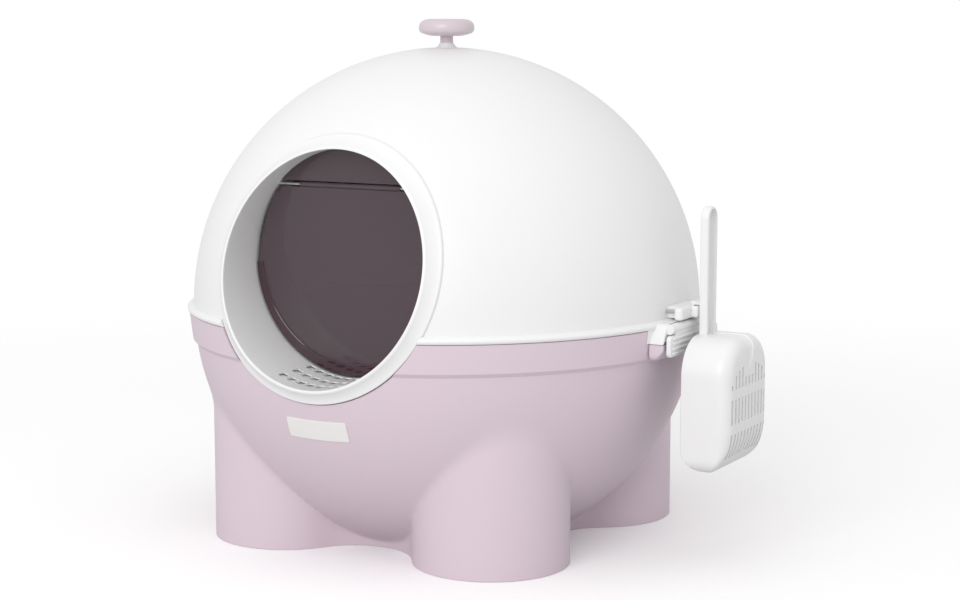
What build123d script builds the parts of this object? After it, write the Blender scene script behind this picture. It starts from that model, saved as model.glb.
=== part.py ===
from build123d import *

import os
from math import asin, cos, degrees, radians, sin, sqrt

# Ball-shaped cat litter box with a lift-off hood. Millimetres, +Z up.
# The origin is the middle of the flat bottom. The entry faces -Y and the scoop hangs on +X.

# ---- driving dimensions --------------------------------------------------------------------

# ball
ball_radius = 239.0  # outside of tub and dome
ball_height = 215.0  # centre of the ball above the floor
tub_wall = 3.0
dome_wall = 3.0

# tub rim
seam_drop = 4.5  # top of the tub's rim below the centre of the ball
rim_proud = 4.2  # outside of the rim from the ball
band_depth = 25.0  # height of the band below the seam
band_taper = 2.7  # how far the band draws in over its height
band_chamfer = 4.0  # height of the bevel under the band

# legs
lobe_radius = 70.8
lobe_spacing = 216.2  # between the centres of two neighbouring legs
leg_waist = 117.0  # from the axis to the narrowest place between two legs
leg_wall = 3.0
leg_overlap = 4.0  # how far the legs run up past the ball

# hood rim
seam_gap = 0.3
lip_proud = 1.8  # from the rim out
lip_height = 6.5
skirt_wall = 2.5
skirt_depth = 10.5
skirt_gap = 0.9  # between the skirt and the tub wall
lip_foot = 0.5  # from the rim in to where the lip begins
lip_shoulder = 2.5  # from the ball out to where the lip's top rounds off

# entry tunnel
tunnel_rise = 52.5  # tunnel axis above the centre of the ball
tunnel_bore = 101.5
tunnel_wall = 2.5
tunnel_proud = 5.8  # rim of the tunnel outside the ball
collar_width = 10.5  # from the tunnel wall out
collar_edge = 2.2  # thickness of the collar at its outer edge
collar_steps = 4
rim_flat = 0.5  # flat rim outside the tunnel wall
tunnel_hole_gap = 0.6
notch_gap = 1.0  # between the tunnel and the tub's notch
collar_hood_gap = 0.4
collar_gap = 0.8  # between the collar and its seat in the tub
rebate_depth = 2.8
pad_wall = 3.2
tunnel_depth = 76.0  # front of the ball back to the inner end of the front tube
face_gap = 0.02  # between faces that rest on each other

# sleeve behind the flap
sleeve_step = 5.5  # how much wider its bore is than the front tube's
sleeve_wall = 2.5
sleeve_length = 51.0  # from the front tube to the sleeve's end, on the tunnel axis
sleeve_slant = 12.0  # degrees
sleeve_flange_lap = 3.0  # from the collar's edge out
sleeve_flange_wall = 2.5
sleeve_fit = 0.3
socket_depth = 3.5  # how far the sleeve's socket overlaps the front tube
flange_rise = 5.0  # lower end of the flange above the hood's lip

# perforated tunnel floor
hole_width = 7.0
hole_length = 10.5
hole_corner = 2.2
hole_columns = 9
hole_column_angle = 5.4  # degrees
hole_rows = 3  # in each half of the tunnel
hole_row_pitch = 21.3
first_row_inset = 21.0  # front of the ball back to the first row

# flap
flap_inset = 4.0  # the flap's middle in front of the front tube's inner end
flap_thickness = 2.5
flap_gap = 2.0  # between flap and tunnel wall
hinge_drop = 33.5  # top of the tunnel's bore down to the hinge axis
flap_swing = 45.0  # degrees that the shoulders leave room for
flap_swing_gap = 0.9
flap_corner_gap = 1.854  # beside the hinge, to pass the tunnel's end
flap_corner_drop = 6.0  # depth of the straight corners below the hinge axis
hinge_gap = 1.0  # between the rod and the flap beside the barrel
flap_bead = 4.5  # thickness of the lower edge
bead_width = 6.0
bead_rise = 4.0
barrel_radius = 2.4
barrel_half = 52.0
hinge_rod_radius = 1.25
rod_fit = 0.08
panel_gap = 1.0

# knob
knob_rise = 26.0  # top of the ball up to the top of the knob
knob_radius = 26.0
knob_thickness = 16.5
stem_radius = 6.0
stem_rise = 1.5  # top of the stem above the knob's lowest point
boss_radius = 8.5
boss_top_radius = 6.6
boss_height = 4.5
knob_screw_radius = 2.0
washer_radius = 9.0
washer_thickness = 1.2
washer_fit = 0.3

# latches
apron_half = 57.0
apron_depth = 11.5
apron_wall = 3.2
apron_gap = 0.4
block_proud = 6.6  # outer face of the latch blocks from the rim
block_top_half = 47.0
block_bottom_half = 55.0
block_rise = 5.7  # top of the hood's latch block above the seam
keeper_depth = 11.0
pin_hole_end = 1.0  # wall at each end of the latch pin
lever_axis_proud = 2.0  # hinge axis of a lever from the outer face of the blocks
lever_axis_rise = 1.0  # hinge axis of a lever above the seam
lever_barrel = 4.5
lever_half = 52.5
lever_barrel_half = 40.0
lever_length = 24.0
lever_thickness = 4.0
lever_corner = 4.0
lever_rib = 1.2
lever_rib_end = 5.0  # from the ends of the lever to the ribs
lever_first_rib = 3.0  # lowest rib above the lever's lower edge
lever_rib_pitch = 4.4
lever_ribs = 4
latch_pin_radius = 1.5
latch_fit = 0.08
latch_gap = 0.6

# scoop
scoop_gap = 8.2  # mouth of the scoop from the lever's plate
scoop_depth = 44.5
scoop_width = 94.0
scoop_drop = 6.5  # top of the scoop's bowl below the seam
scoop_length = 117.6
scoop_wall = 2.4
scoop_lip = 5.0
scoop_corner = 12.0  # between the slotted face and the sides
scoop_shoulder = 33.0  # upper corners in front view
scoop_mouth_rise = 21.6  # straight edge of the mouth above the lip
scoop_face_drop = 80.0  # top of the scoop down to where the slotted face begins to curve
scoop_face_reach = 26.0  # lip from the mouth
handle_width = 22.0
handle_thickness = 8.0
handle_length = 113.0
handle_channel = 3.5
handle_rim = 1.6
slot_width = 2.4
slot_length = 22.0
slot_pitch = 7.4
slot_columns = 11
slot_rows = 3
slot_row_pitch = 30.6
slot_drop = 21.0  # top of the scoop down to the first row
slot_arch = 19.5  # height of the arch that the first row's upper ends follow
slot_arch_half = 37.9  # half span of that arch
slot_middle = 0.2  # share of the half width in which the slots stop below the groove
slot_bridge = 7.5  # from the groove's point down to the middle slots
groove_depth = 1.2
groove_drop = 27.0  # top of the scoop down to the groove's point
hook_width = 8.0
hook_thickness = 3.0
hook_length = 11.0
hook_rise = 0.5  # hook above the holder
hook_set_back = 5.8  # inner side of the hook's tip from the holder's nose

# scoop holder
holder_half = 34.0
holder_height = 11.0
holder_lip_gap = 0.2  # above the hood's lip
holder_corner = 4.0
holder_nose_corner = 2.0
holder_root = 10.0  # how far the block runs in past the ball before it is cut to it
holder_proud = 17.5  # from the ball
holder_nose_half = 9.0
holder_nose_gap = 1.6  # from the mouth of the scoop
holder_gap = 1.0
holder_pocket = 5.0
pocket_floor = 1.0

# fasteners
screw_radius = 1.5
screw_head = 2.9
screw_head_height = 2.0
screw_fit = 0.05
screw_slot = 0.8
screw_seat_gap = 0.05
hole_start = 1.0  # the screw holes begin this far behind the seat
sleeve_screw_angles = (72, 104, 136)  # degrees round the tunnel from its lowest line
holder_screw_offset = 22.0
holder_screw_grip = 12.0
holder_screw_share = 0.6  # height of the screws in the holder

# label plate on the front of the tub
label_width = 61.0
label_height = 19.5
label_thickness = 0.8
label_corner = 1.5
label_drop = 21.2  # degrees below the middle of the ball

# ---- places worked out from them -----------------------------------------------------------

tub_inner = ball_radius - tub_wall
dome_inner = ball_radius - dome_wall
tunnel_height = ball_height + tunnel_rise
tunnel_outer = tunnel_bore + tunnel_wall
tunnel_front = ball_radius + tunnel_proud
tunnel_back = tunnel_depth - ball_radius
seam_height = ball_height - seam_drop
rim_radius = ball_radius + rim_proud
lip_radius = rim_radius + lip_proud
collar_radius = tunnel_outer + collar_width
sleeve_bore = tunnel_bore + sleeve_step
sleeve_back = tunnel_back + sleeve_length
sleeve_flange = collar_radius + sleeve_flange_lap
first_row = first_row_inset - ball_radius
flap_plane = tunnel_back - flap_inset
flap_rise = tunnel_bore - hinge_drop
knob_top = ball_height + ball_radius + knob_rise
block_reach = rim_radius + block_proud
lever_axis = block_reach + lever_axis_proud
scoop_reach = lever_axis + lever_thickness + scoop_gap
scoop_top = seam_height - scoop_drop
handle_top = scoop_top + handle_length
holder_reach = ball_radius + holder_proud
holder_nose = scoop_reach - holder_nose_gap
hood_seam = seam_height + seam_gap
hinge_height = tunnel_height + flap_rise
far = 2 * ball_radius


def on_ball(radius, height):
    """Point of a half section, at this height on a sphere about the centre of the ball."""
    return (sqrt(radius**2 - (height - ball_height) ** 2), height)


def ball_arc(radius, low, high):
    """Arc of the half section along such a sphere between two heights."""
    return ThreePointArc(on_ball(radius, low), on_ball(radius, (low + high) / 2), on_ball(radius, high))


def ball(radius):
    """Solid sphere about the centre of the ball, outside any builder."""
    return Pos(0, 0, ball_height) * Solid.make_sphere(radius, angle1=-90, angle2=90, angle3=360)


def tunnel_rod(radius, front, back, rise=0.0):
    """Solid cylinder along the tunnel axis from y = front to y = back."""
    start = Plane(origin=(0, front, tunnel_height + rise), x_dir=(1, 0, 0), z_dir=(0, 1, 0))
    return Solid.make_cylinder(radius, back - front, start)


def quatrefoil(inset):
    """Plan of the four legs: round lobes joined by hollow arcs tangent to them."""
    centre = lobe_spacing / 2
    lobe = lobe_radius - inset
    waist = leg_waist - inset
    step = waist - centre
    hollow = (step**2 + centre**2 - lobe**2) / (2 * (lobe - step))
    reach = sqrt((step + hollow) ** 2 + centre**2)
    touch = (centre + lobe * (step + hollow) / reach, centre - lobe * centre / reach)
    tip = centre + lobe / sqrt(2)
    with BuildSketch() as plan:
        with BuildLine():
            for turn in range(4):
                side = Vector(waist, 0).rotate(Axis.Z, 90 * turn)
                corner = Vector(tip, tip).rotate(Axis.Z, 90 * turn)
                low = Vector(touch[0], -touch[1]).rotate(Axis.Z, 90 * turn)
                high = Vector(touch[0], touch[1]).rotate(Axis.Z, 90 * turn)
                after = Vector(touch[1], touch[0]).rotate(Axis.Z, 90 * turn)
                ThreePointArc(low, side, high)
                ThreePointArc(high, corner, after)
        make_face()
    return plan.sketch


def save(piece, name):
    """Label a finished piece and write it."""
    piece.part.label = name
    export_step(piece.part, f"parts/{name}.step")


os.makedirs("parts", exist_ok=True)

# ---- screws --------------------------------------------------------------------------------


def screw_plane(inner, across, height, side):
    """Plane on a sphere of radius inner, facing outwards, at this x or y and height."""
    rise = height - ball_height
    depth = sqrt(inner**2 - across**2 - rise**2)
    point = Vector(across, -depth, rise) if side == "front" else Vector(depth, across, rise)
    return Plane(origin=Vector(0, 0, ball_height) + point, z_dir=point.normalized())


def screw_holes(planes, grip):
    """Rods that leave holes for screws of this grip on these planes."""
    with BuildPart() as rods:
        with BuildSketch(*[plane.offset(-hole_start) for plane in planes]):
            Circle(screw_radius + screw_fit)
        extrude(amount=grip + hole_start + 0.2)
    return rods.part


socket_bore = tunnel_outer + sleeve_fit
socket_outer = socket_bore + sleeve_wall
screw_ring = (collar_radius + socket_outer) / 2
sleeve_screw_seat = dome_inner - sleeve_flange_wall - screw_seat_gap
sleeve_screw_grip = ball_radius + collar_edge - 0.6 - sleeve_screw_seat
sleeve_screw_places = [
    screw_plane(
        sleeve_screw_seat,
        side * screw_ring * sin(radians(turn)),
        tunnel_height - screw_ring * cos(radians(turn)),
        "front",
    )
    for turn in sleeve_screw_angles
    for side in (-1, 1)
]

holder_bottom = hood_seam + lip_height + holder_lip_gap
holder_top = holder_bottom + holder_height
holder_screw_seat = dome_inner - screw_seat_gap
holder_screw_height = holder_bottom + holder_screw_share * holder_height
holder_screw_places = [
    screw_plane(holder_screw_seat, side * holder_screw_offset, holder_screw_height, "right")
    for side in (-1, 1)
]

for name, places, grip in (
    ("sleeve_screws", sleeve_screw_places, sleeve_screw_grip),
    ("holder_screws", holder_screw_places, holder_screw_grip),
):
    with BuildPart() as screws:
        with BuildSketch(*places):
            Circle(screw_head)
        extrude(amount=-screw_head_height)
        with BuildSketch(*places):
            Circle(screw_radius)
        extrude(amount=grip)
        with BuildSketch(*[place.offset(-screw_head_height) for place in places]):
            Rectangle(1.4 * screw_head, screw_slot)
            Rectangle(screw_slot, 1.4 * screw_head)
        extrude(amount=screw_head_height / 2, mode=Mode.SUBTRACT)
    save(screws, name)

# ---- tub -----------------------------------------------------------------------------------

lobe_reach = lobe_spacing / sqrt(2) + lobe_radius
leg_top = ball_height - sqrt(ball_radius**2 - lobe_reach**2) + leg_overlap
band_bottom = seam_height - band_depth
bevel_bottom = band_bottom - band_chamfer
apron_bottom = seam_height - apron_depth

with BuildPart() as leg_hollow:
    extrude(quatrefoil(leg_wall), amount=leg_top)
    add(ball(ball_radius), mode=Mode.SUBTRACT)

with BuildPart() as tub_pad:
    add(ball(ball_radius - rebate_depth))
    add(ball(ball_radius - rebate_depth - pad_wall), mode=Mode.SUBTRACT)
    add(tunnel_rod(collar_radius + collar_gap + pad_wall, -far, flap_plane), mode=Mode.INTERSECT)
    split(bisect_by=Plane.XY.offset(seam_height), keep=Keep.BOTTOM)

with BuildPart() as collar_seat:
    add(tunnel_rod(collar_radius + collar_gap, -far, flap_plane))
    add(ball(ball_radius - rebate_depth), mode=Mode.SUBTRACT)

with BuildPart() as latch_keeper:
    with BuildSketch(Plane.XZ.offset(-block_bottom_half)):
        with BuildLine():
            Polyline(
                (ball_radius - tub_wall / 2, apron_bottom - apron_gap),
                (block_reach, apron_bottom - apron_gap),
                (block_reach, apron_bottom - keeper_depth / 2),
                (ball_radius - tub_wall / 2, apron_bottom - keeper_depth - band_chamfer),
                close=True,
            )
        make_face()
    extrude(amount=2 * block_bottom_half)
    mirror(about=Plane.YZ)

with BuildPart() as base_tub:
    with BuildSketch(Plane.XZ):
        with BuildLine():
            Line((0, 0), on_ball(ball_radius, 0))
            ball_arc(ball_radius, 0, bevel_bottom)
            Line(on_ball(ball_radius, bevel_bottom), (rim_radius - band_taper, band_bottom))
            Line((rim_radius - band_taper, band_bottom), (rim_radius, seam_height))
            Polyline((rim_radius, seam_height), (0, seam_height), (0, 0))
        make_face()
    revolve(axis=Axis.Z)
    extrude(quatrefoil(0), amount=leg_top)
    with BuildSketch(Plane.XZ):
        with BuildLine():
            Line((0, tub_wall), on_ball(tub_inner, tub_wall))
            ball_arc(tub_inner, tub_wall, seam_height)
            Polyline(on_ball(tub_inner, seam_height), (0, seam_height), (0, tub_wall))
        make_face()
    revolve(axis=Axis.Z, mode=Mode.SUBTRACT)
    add(leg_hollow.part, mode=Mode.SUBTRACT)
    # seats of the hood's two aprons
    with BuildSketch(Plane.XY.offset(apron_bottom - apron_gap)):
        Rectangle(far + 100, 2 * (apron_half + apron_gap))
        Circle(rim_radius - apron_wall - apron_gap, mode=Mode.SUBTRACT)
    extrude(amount=apron_depth + 1, mode=Mode.SUBTRACT)
    add(latch_keeper.part)
    # entry: stepped wall for the collar and a notch that is open upwards
    add(tub_pad.part)
    add(collar_seat.part, mode=Mode.SUBTRACT)
    add(tunnel_rod(tunnel_outer + notch_gap, -far, flap_plane), mode=Mode.SUBTRACT)
save(base_tub, "base_tub")

with BuildPart() as label_plate:
    add(ball(ball_radius + label_thickness))
    add(ball(ball_radius + face_gap), mode=Mode.SUBTRACT)
    drop = radians(label_drop)
    face = Plane(origin=(0, 0, ball_height), x_dir=(1, 0, 0), z_dir=(0, -cos(drop), -sin(drop)))
    with BuildSketch(face):
        RectangleRounded(label_width, label_height, label_corner)
    extrude(amount=far, mode=Mode.INTERSECT)
save(label_plate, "label_plate")

# ---- hood ----------------------------------------------------------------------------------

skirt_radius = tub_inner - skirt_gap
lip_top = hood_seam + lip_height
skirt_bottom = hood_seam - skirt_depth
block_top = seam_height + block_rise
lever_height = seam_height + lever_axis_rise
ball_top = ball_height + ball_radius

with BuildPart() as latch_blocks:
    with BuildSketch(Plane.YZ.offset(ball_radius - dome_wall)):
        with BuildLine():
            Polyline(
                (-block_bottom_half, apron_bottom),
                (block_bottom_half, apron_bottom),
                (block_top_half, block_top),
                (-block_top_half, block_top),
                close=True,
            )
        make_face()
    extrude(amount=block_reach - ball_radius + dome_wall)
    with BuildSketch(Plane.XZ.offset(-block_top_half)):
        with Locations((lever_axis, lever_height)):
            Circle(lever_barrel)
        with Locations(((lever_axis + ball_radius) / 2, lever_height)):
            Rectangle(lever_axis - ball_radius, 2 * lever_barrel)
    extrude(amount=2 * block_top_half)
    with BuildSketch(Plane.XZ.offset(-lever_barrel_half - latch_gap)):
        with Locations((lever_axis, lever_height)):
            Circle(lever_barrel + latch_gap)
        with Locations((lever_axis + lever_barrel, lever_height - lever_barrel)):
            Rectangle(2 * lever_barrel, 4 * lever_barrel)
    extrude(amount=2 * (lever_barrel_half + latch_gap), mode=Mode.SUBTRACT)
    mirror(about=Plane.YZ)
    Cylinder(rim_radius - apron_wall, far, mode=Mode.SUBTRACT)

with BuildPart() as collar_space:
    add(tunnel_rod(collar_radius + collar_hood_gap, -far, flap_plane))
    add(ball(ball_radius), mode=Mode.SUBTRACT)

with BuildPart() as skirt_cut:
    add(tunnel_rod(collar_radius + collar_gap + pad_wall + 2, -far, flap_plane + 40))
    add(ball(dome_inner), mode=Mode.INTERSECT)
    split(bisect_by=Plane.XY.offset(lip_top + flange_rise - 1), keep=Keep.BOTTOM)

with BuildPart() as hood_shell:
    with BuildSketch(Plane.XZ):
        with BuildLine():
            Polyline(
                (skirt_radius - skirt_wall, skirt_bottom),
                (skirt_radius, skirt_bottom),
                (skirt_radius, hood_seam),
                (rim_radius - lip_foot, hood_seam),
            )
            Spline(
                (rim_radius - lip_foot, hood_seam),
                (lip_radius, hood_seam + lip_height * 0.4),
                (ball_radius + lip_shoulder, lip_top - 0.4),
                tangents=((1, 0.4), (-1, 0.25)),
            )
            Line((ball_radius + lip_shoulder, lip_top - 0.4), on_ball(ball_radius, lip_top))
            ball_arc(ball_radius, lip_top, ball_top)
            Line((0, ball_top), (0, ball_top - dome_wall))
            ball_arc(dome_inner, lip_top + 3, ball_top - dome_wall)
            Polyline(
                on_ball(dome_inner, lip_top + 3),
                (skirt_radius - skirt_wall, lip_top - 2),
                (skirt_radius - skirt_wall, skirt_bottom),
            )
        make_face()
    revolve(axis=Axis.Z)
    # entry
    add(tunnel_rod(tunnel_outer + tunnel_hole_gap, -far, flap_plane + 40), mode=Mode.SUBTRACT)
    add(collar_space.part, mode=Mode.SUBTRACT)
    add(skirt_cut.part, mode=Mode.SUBTRACT)
    # boss under the knob
    with BuildSketch(Plane.XY.offset(ball_top - 1)):
        Circle(boss_radius)
    with BuildSketch(Plane.XY.offset(ball_top + boss_height)):
        Circle(boss_top_radius)
    loft()
    # aprons that reach down over the tub's band, and the latch blocks on them
    with BuildSketch(Plane.XY.offset(apron_bottom)):
        Circle(rim_radius)
        Circle(rim_radius - apron_wall, mode=Mode.SUBTRACT)
        Rectangle(far + 100, 2 * apron_half, mode=Mode.INTERSECT)
    extrude(amount=apron_depth + seam_gap + 1)
    add(latch_blocks.part)
    with Locations(*[Location((side * lever_axis, 0, lever_height), (90, 0, 0)) for side in (-1, 1)]):
        Cylinder(latch_pin_radius + screw_fit, 2 * (block_top_half - pin_hole_end), mode=Mode.SUBTRACT)
    # holes for the screws of the sleeve, the scoop holder and the knob
    add(screw_holes(sleeve_screw_places, sleeve_screw_grip), mode=Mode.SUBTRACT)
    add(screw_holes(holder_screw_places, holder_screw_grip), mode=Mode.SUBTRACT)
    with Locations((0, 0, ball_top)):
        Cylinder(knob_screw_radius + screw_fit, 20, mode=Mode.SUBTRACT)
save(hood_shell, "hood_shell")

# ---- entry tunnel --------------------------------------------------------------------------

ball_collar = ball_radius + face_gap
columns = [hole_column_angle * (i - (hole_columns - 1) / 2) for i in range(hole_columns)]
front_rows = [first_row + hole_row_pitch * i for i in range(hole_rows)]
rear_rows = [first_row + hole_row_pitch * (i + hole_rows) for i in range(hole_rows)]


def floor_planes(rows, radius, rise):
    """Planes of the floor holes, square to a tunnel wall of this radius."""
    planes = []
    for turn in columns:
        outward = Vector(0, 0, -1).rotate(Axis.Y, -turn)
        across = Vector(1, 0, 0).rotate(Axis.Y, -turn)
        for y in rows:
            middle = Vector(0, y, tunnel_height + rise) + outward * (radius - 2)
            planes.append(Plane(origin=middle, x_dir=across, z_dir=outward))
    return planes


# the collar steps up from its edge to the rim of the tunnel
rim_edge = tunnel_outer + rim_flat

terraces = []
for step in range(collar_steps):
    share = step / (collar_steps - 1)
    with BuildPart() as terrace:
        add(tunnel_rod(collar_radius + (rim_edge - collar_radius) * share, -far, flap_plane))
        add(ball(ball_radius + collar_edge + (tunnel_proud - collar_edge) * share), mode=Mode.INTERSECT)
    terraces.append(terrace.part)

with BuildPart() as collar:
    add(terraces)
    add(ball(ball_collar), mode=Mode.SUBTRACT)

with BuildPart() as entry_tunnel:
    add(tunnel_rod(tunnel_outer, -far, tunnel_back))
    add(ball(tunnel_front), mode=Mode.INTERSECT)
    add(collar.part)
    add(tunnel_rod(tunnel_bore, -far, 0), mode=Mode.SUBTRACT)
    with BuildSketch(*floor_planes(front_rows, tunnel_bore, 0)):
        RectangleRounded(hole_width, hole_length, hole_corner)
    extrude(amount=2 * tunnel_wall + 2, mode=Mode.SUBTRACT)
    with Locations(Location((0, flap_plane, hinge_height), (0, 90, 0))):
        Cylinder(hinge_rod_radius + screw_fit, far, mode=Mode.SUBTRACT)
    add(screw_holes(sleeve_screw_places, sleeve_screw_grip), mode=Mode.SUBTRACT)
save(entry_tunnel, "entry_tunnel")

sleeve_outer = sleeve_bore + sleeve_wall
sleeve_rise = sleeve_bore - tunnel_bore  # so that both floors are level
socket_end = tunnel_back - socket_depth
flange_bottom = lip_top + flange_rise

with BuildPart() as sleeve_flange_ring:
    add(ball(dome_inner - face_gap))
    add(ball(dome_inner - sleeve_flange_wall), mode=Mode.SUBTRACT)
    add(tunnel_rod(sleeve_flange, -far, socket_end), mode=Mode.INTERSECT)
    split(bisect_by=Plane.XY.offset(flange_bottom), keep=Keep.TOP)

with BuildPart() as sleeve_base_room:
    add(ball(far))
    add(ball(ball_radius - rebate_depth - pad_wall - 1), mode=Mode.SUBTRACT)
    split(bisect_by=Plane.XY.offset(flange_bottom), keep=Keep.BOTTOM)

with BuildPart() as tunnel_sleeve:
    add(tunnel_rod(socket_outer, -far, tunnel_back + 1))
    add(tunnel_rod(sleeve_outer, socket_end, 0, sleeve_rise))
    add(ball(dome_inner - face_gap), mode=Mode.INTERSECT)
    add(sleeve_base_room.part, mode=Mode.SUBTRACT)
    add(sleeve_flange_ring.part)
    add(tunnel_rod(socket_bore, -far, tunnel_back + 0.3), mode=Mode.SUBTRACT)
    add(tunnel_rod(sleeve_bore, tunnel_back + 0.2, 1, sleeve_rise), mode=Mode.SUBTRACT)
    slant = radians(sleeve_slant)
    slant_plane = Plane(
        origin=(0, sleeve_back, tunnel_height), x_dir=(1, 0, 0), z_dir=(0, -cos(slant), -sin(slant))
    )
    split(bisect_by=slant_plane, keep=Keep.TOP)
    with BuildSketch(*floor_planes(rear_rows, sleeve_bore, sleeve_rise)):
        RectangleRounded(hole_width, hole_length, hole_corner)
    extrude(amount=2 * tunnel_wall + 2, mode=Mode.SUBTRACT)
    add(screw_holes(sleeve_screw_places, sleeve_screw_grip), mode=Mode.SUBTRACT)
save(tunnel_sleeve, "tunnel_sleeve")

# ---- flap ----------------------------------------------------------------------------------

flap_radius = tunnel_bore - flap_gap
bead_radius = flap_radius - bead_width
flap_corner_half = sqrt(tunnel_bore**2 - flap_rise**2) - flap_corner_gap
swing_share = cos(radians(flap_swing))
swing_centre = -flap_rise * (1 - swing_share) / swing_share
panel_bottom = flap_rise + barrel_radius + panel_gap
flap_sketch_plane = Plane(origin=(0, flap_plane, tunnel_height), x_dir=(1, 0, 0), z_dir=(0, -1, 0))

with BuildPart() as flap:
    # shoulders drawn in, so that they clear the round wall as the flap swings
    with BuildSketch(flap_sketch_plane):
        Circle(flap_radius)
        with Locations((0, swing_centre)):
            Ellipse(tunnel_bore - flap_swing_gap, tunnel_bore / swing_share, mode=Mode.INTERSECT)
        with Locations((0, flap_rise + flap_radius - flap_corner_drop)):
            Rectangle(far, 2 * flap_radius, mode=Mode.SUBTRACT)
        with Locations((0, flap_rise - (flap_corner_drop + hinge_rod_radius + hinge_gap) / 2)):
            Rectangle(2 * flap_corner_half, flap_corner_drop - hinge_rod_radius - hinge_gap)
        with Locations((0, flap_rise - hinge_rod_radius)):
            Rectangle(2 * barrel_half, 2 * hinge_rod_radius)
    extrude(amount=flap_thickness / 2, both=True)
    with BuildSketch(flap_sketch_plane):
        Circle(flap_radius)
        with Locations((0, bead_rise)):
            Circle(bead_radius, mode=Mode.SUBTRACT)
        with Locations((0, flap_radius)):
            Rectangle(far, 2 * flap_radius, mode=Mode.SUBTRACT)
    extrude(amount=flap_bead / 2, both=True)
    with Locations(Location((0, flap_plane, hinge_height), (0, 90, 0))):
        Cylinder(barrel_radius, 2 * barrel_half)
        Cylinder(hinge_rod_radius + rod_fit, 2 * barrel_half + 2, mode=Mode.SUBTRACT)
save(flap, "flap")

with BuildPart() as flap_top_panel:
    with BuildSketch(flap_sketch_plane):
        Circle(tunnel_bore - 0.03)
        with Locations((0, panel_bottom - tunnel_bore)):
            Rectangle(far, 2 * tunnel_bore, mode=Mode.SUBTRACT)
    extrude(amount=flap_thickness / 2, both=True)
save(flap_top_panel, "flap_top_panel")

rod_half = sqrt(tunnel_outer**2 - (flap_rise + hinge_rod_radius) ** 2) - 0.2

with BuildPart() as flap_hinge_rod:
    with Locations(Location((0, flap_plane, hinge_height), (0, 90, 0))):
        Cylinder(hinge_rod_radius, 2 * rod_half)
save(flap_hinge_rod, "flap_hinge_rod")

# ---- knob ----------------------------------------------------------------------------------

boss_top = ball_top + boss_height
knob_middle = knob_top - knob_thickness / 2
stem_top = knob_middle - knob_thickness / 2 + stem_rise
knob_bore_top = knob_middle + 2

with BuildPart() as knob:
    with BuildSketch(Plane.XZ):
        with BuildLine():
            Line((0, boss_top), (stem_radius, boss_top))
            Line((stem_radius, boss_top), (stem_radius, stem_top))
            Spline(
                (stem_radius, stem_top),
                (knob_radius * 0.8, knob_middle - knob_thickness * 0.33),
                (knob_radius, knob_middle),
                tangents=((1, -0.15), (0, 1)),
            )
            Spline((knob_radius, knob_middle), (0, knob_top), tangents=((0, 1.3), (-1.6, 0)))
            Line((0, knob_top), (0, boss_top))
        make_face()
    revolve(axis=Axis.Z)
    with Locations((0, 0, (boss_top + knob_bore_top) / 2)):
        Cylinder(knob_screw_radius + screw_fit, knob_bore_top - boss_top, mode=Mode.SUBTRACT)
save(knob, "knob")

washer_top = ball_top - dome_wall - washer_radius**2 / (2 * dome_inner) - face_gap

with BuildPart() as knob_washer:
    with BuildSketch(Plane.XY.offset(washer_top)):
        Circle(washer_radius)
        Circle(knob_screw_radius + washer_fit, mode=Mode.SUBTRACT)
    extrude(amount=-washer_thickness)
save(knob_washer, "knob_washer")

with BuildPart() as knob_screw:
    with BuildSketch(Plane.XY.offset(washer_top - washer_thickness)):
        Circle(2 * knob_screw_radius)
    extrude(amount=-knob_screw_radius)
    with BuildSketch(Plane.XY.offset(washer_top - washer_thickness)):
        Circle(knob_screw_radius)
    extrude(amount=knob_bore_top - 1 - washer_top + washer_thickness)
    with BuildSketch(Plane.XY.offset(washer_top - washer_thickness - knob_screw_radius)):
        Rectangle(3 * knob_screw_radius, 1)
        Rectangle(1, 3 * knob_screw_radius)
    extrude(amount=knob_screw_radius / 2, mode=Mode.SUBTRACT)
save(knob_screw, "knob_screw")

# ---- latch levers --------------------------------------------------------------------------

lever_bottom = lever_height - lever_length
lever_shoulder = lever_height - lever_barrel - latch_gap
lever_face = lever_axis + lever_thickness

for side, place in ((-1, "left"), (1, "right")):
    with BuildPart() as latch_lever:
        with Locations(((lever_axis + lever_face) / 2, 0, (lever_bottom + lever_shoulder) / 2)):
            Box(lever_thickness, 2 * lever_half, lever_shoulder - lever_bottom)
        with Locations(((lever_axis + lever_face) / 2, 0, (lever_shoulder + lever_height) / 2)):
            Box(lever_thickness, 2 * lever_barrel_half, lever_height - lever_shoulder)
        fillet(latch_lever.edges().filter_by(Axis.X).group_by(Axis.Z)[0], radius=lever_corner)
        with Locations(Location((lever_axis, 0, lever_height), (90, 0, 0))):
            Cylinder(lever_barrel, 2 * lever_barrel_half)
            Cylinder(latch_pin_radius + latch_fit, 2 * lever_barrel_half + 2, mode=Mode.SUBTRACT)
        for rib in range(lever_ribs):
            height = lever_bottom + lever_first_rib + lever_rib_pitch * rib
            with Locations((lever_face, 0, height)):
                Box(2 * lever_rib, 2 * (lever_half - lever_rib_end), lever_rib_pitch * 0.4)
        if side < 0:
            mirror(about=Plane.YZ, mode=Mode.REPLACE)
    save(latch_lever, f"latch_lever_{place}")

    with BuildPart() as latch_pin:
        with Locations(Location((side * lever_axis, 0, lever_height), (90, 0, 0))):
            Cylinder(latch_pin_radius, 2 * (block_top_half - pin_hole_end) - 0.2)
    save(latch_pin, f"latch_pin_{place}")

# ---- scoop ---------------------------------------------------------------------------------

scoop_face = scoop_reach + scoop_depth
scoop_bottom = scoop_top - scoop_length
curve_top = scoop_top - scoop_face_drop
lip_drop = curve_top - scoop_bottom
lip_back = scoop_depth - scoop_face_reach
curve_radius = (lip_back**2 + lip_drop**2) / (2 * lip_back)
curve_centre = (scoop_face - curve_radius, curve_top)


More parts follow.
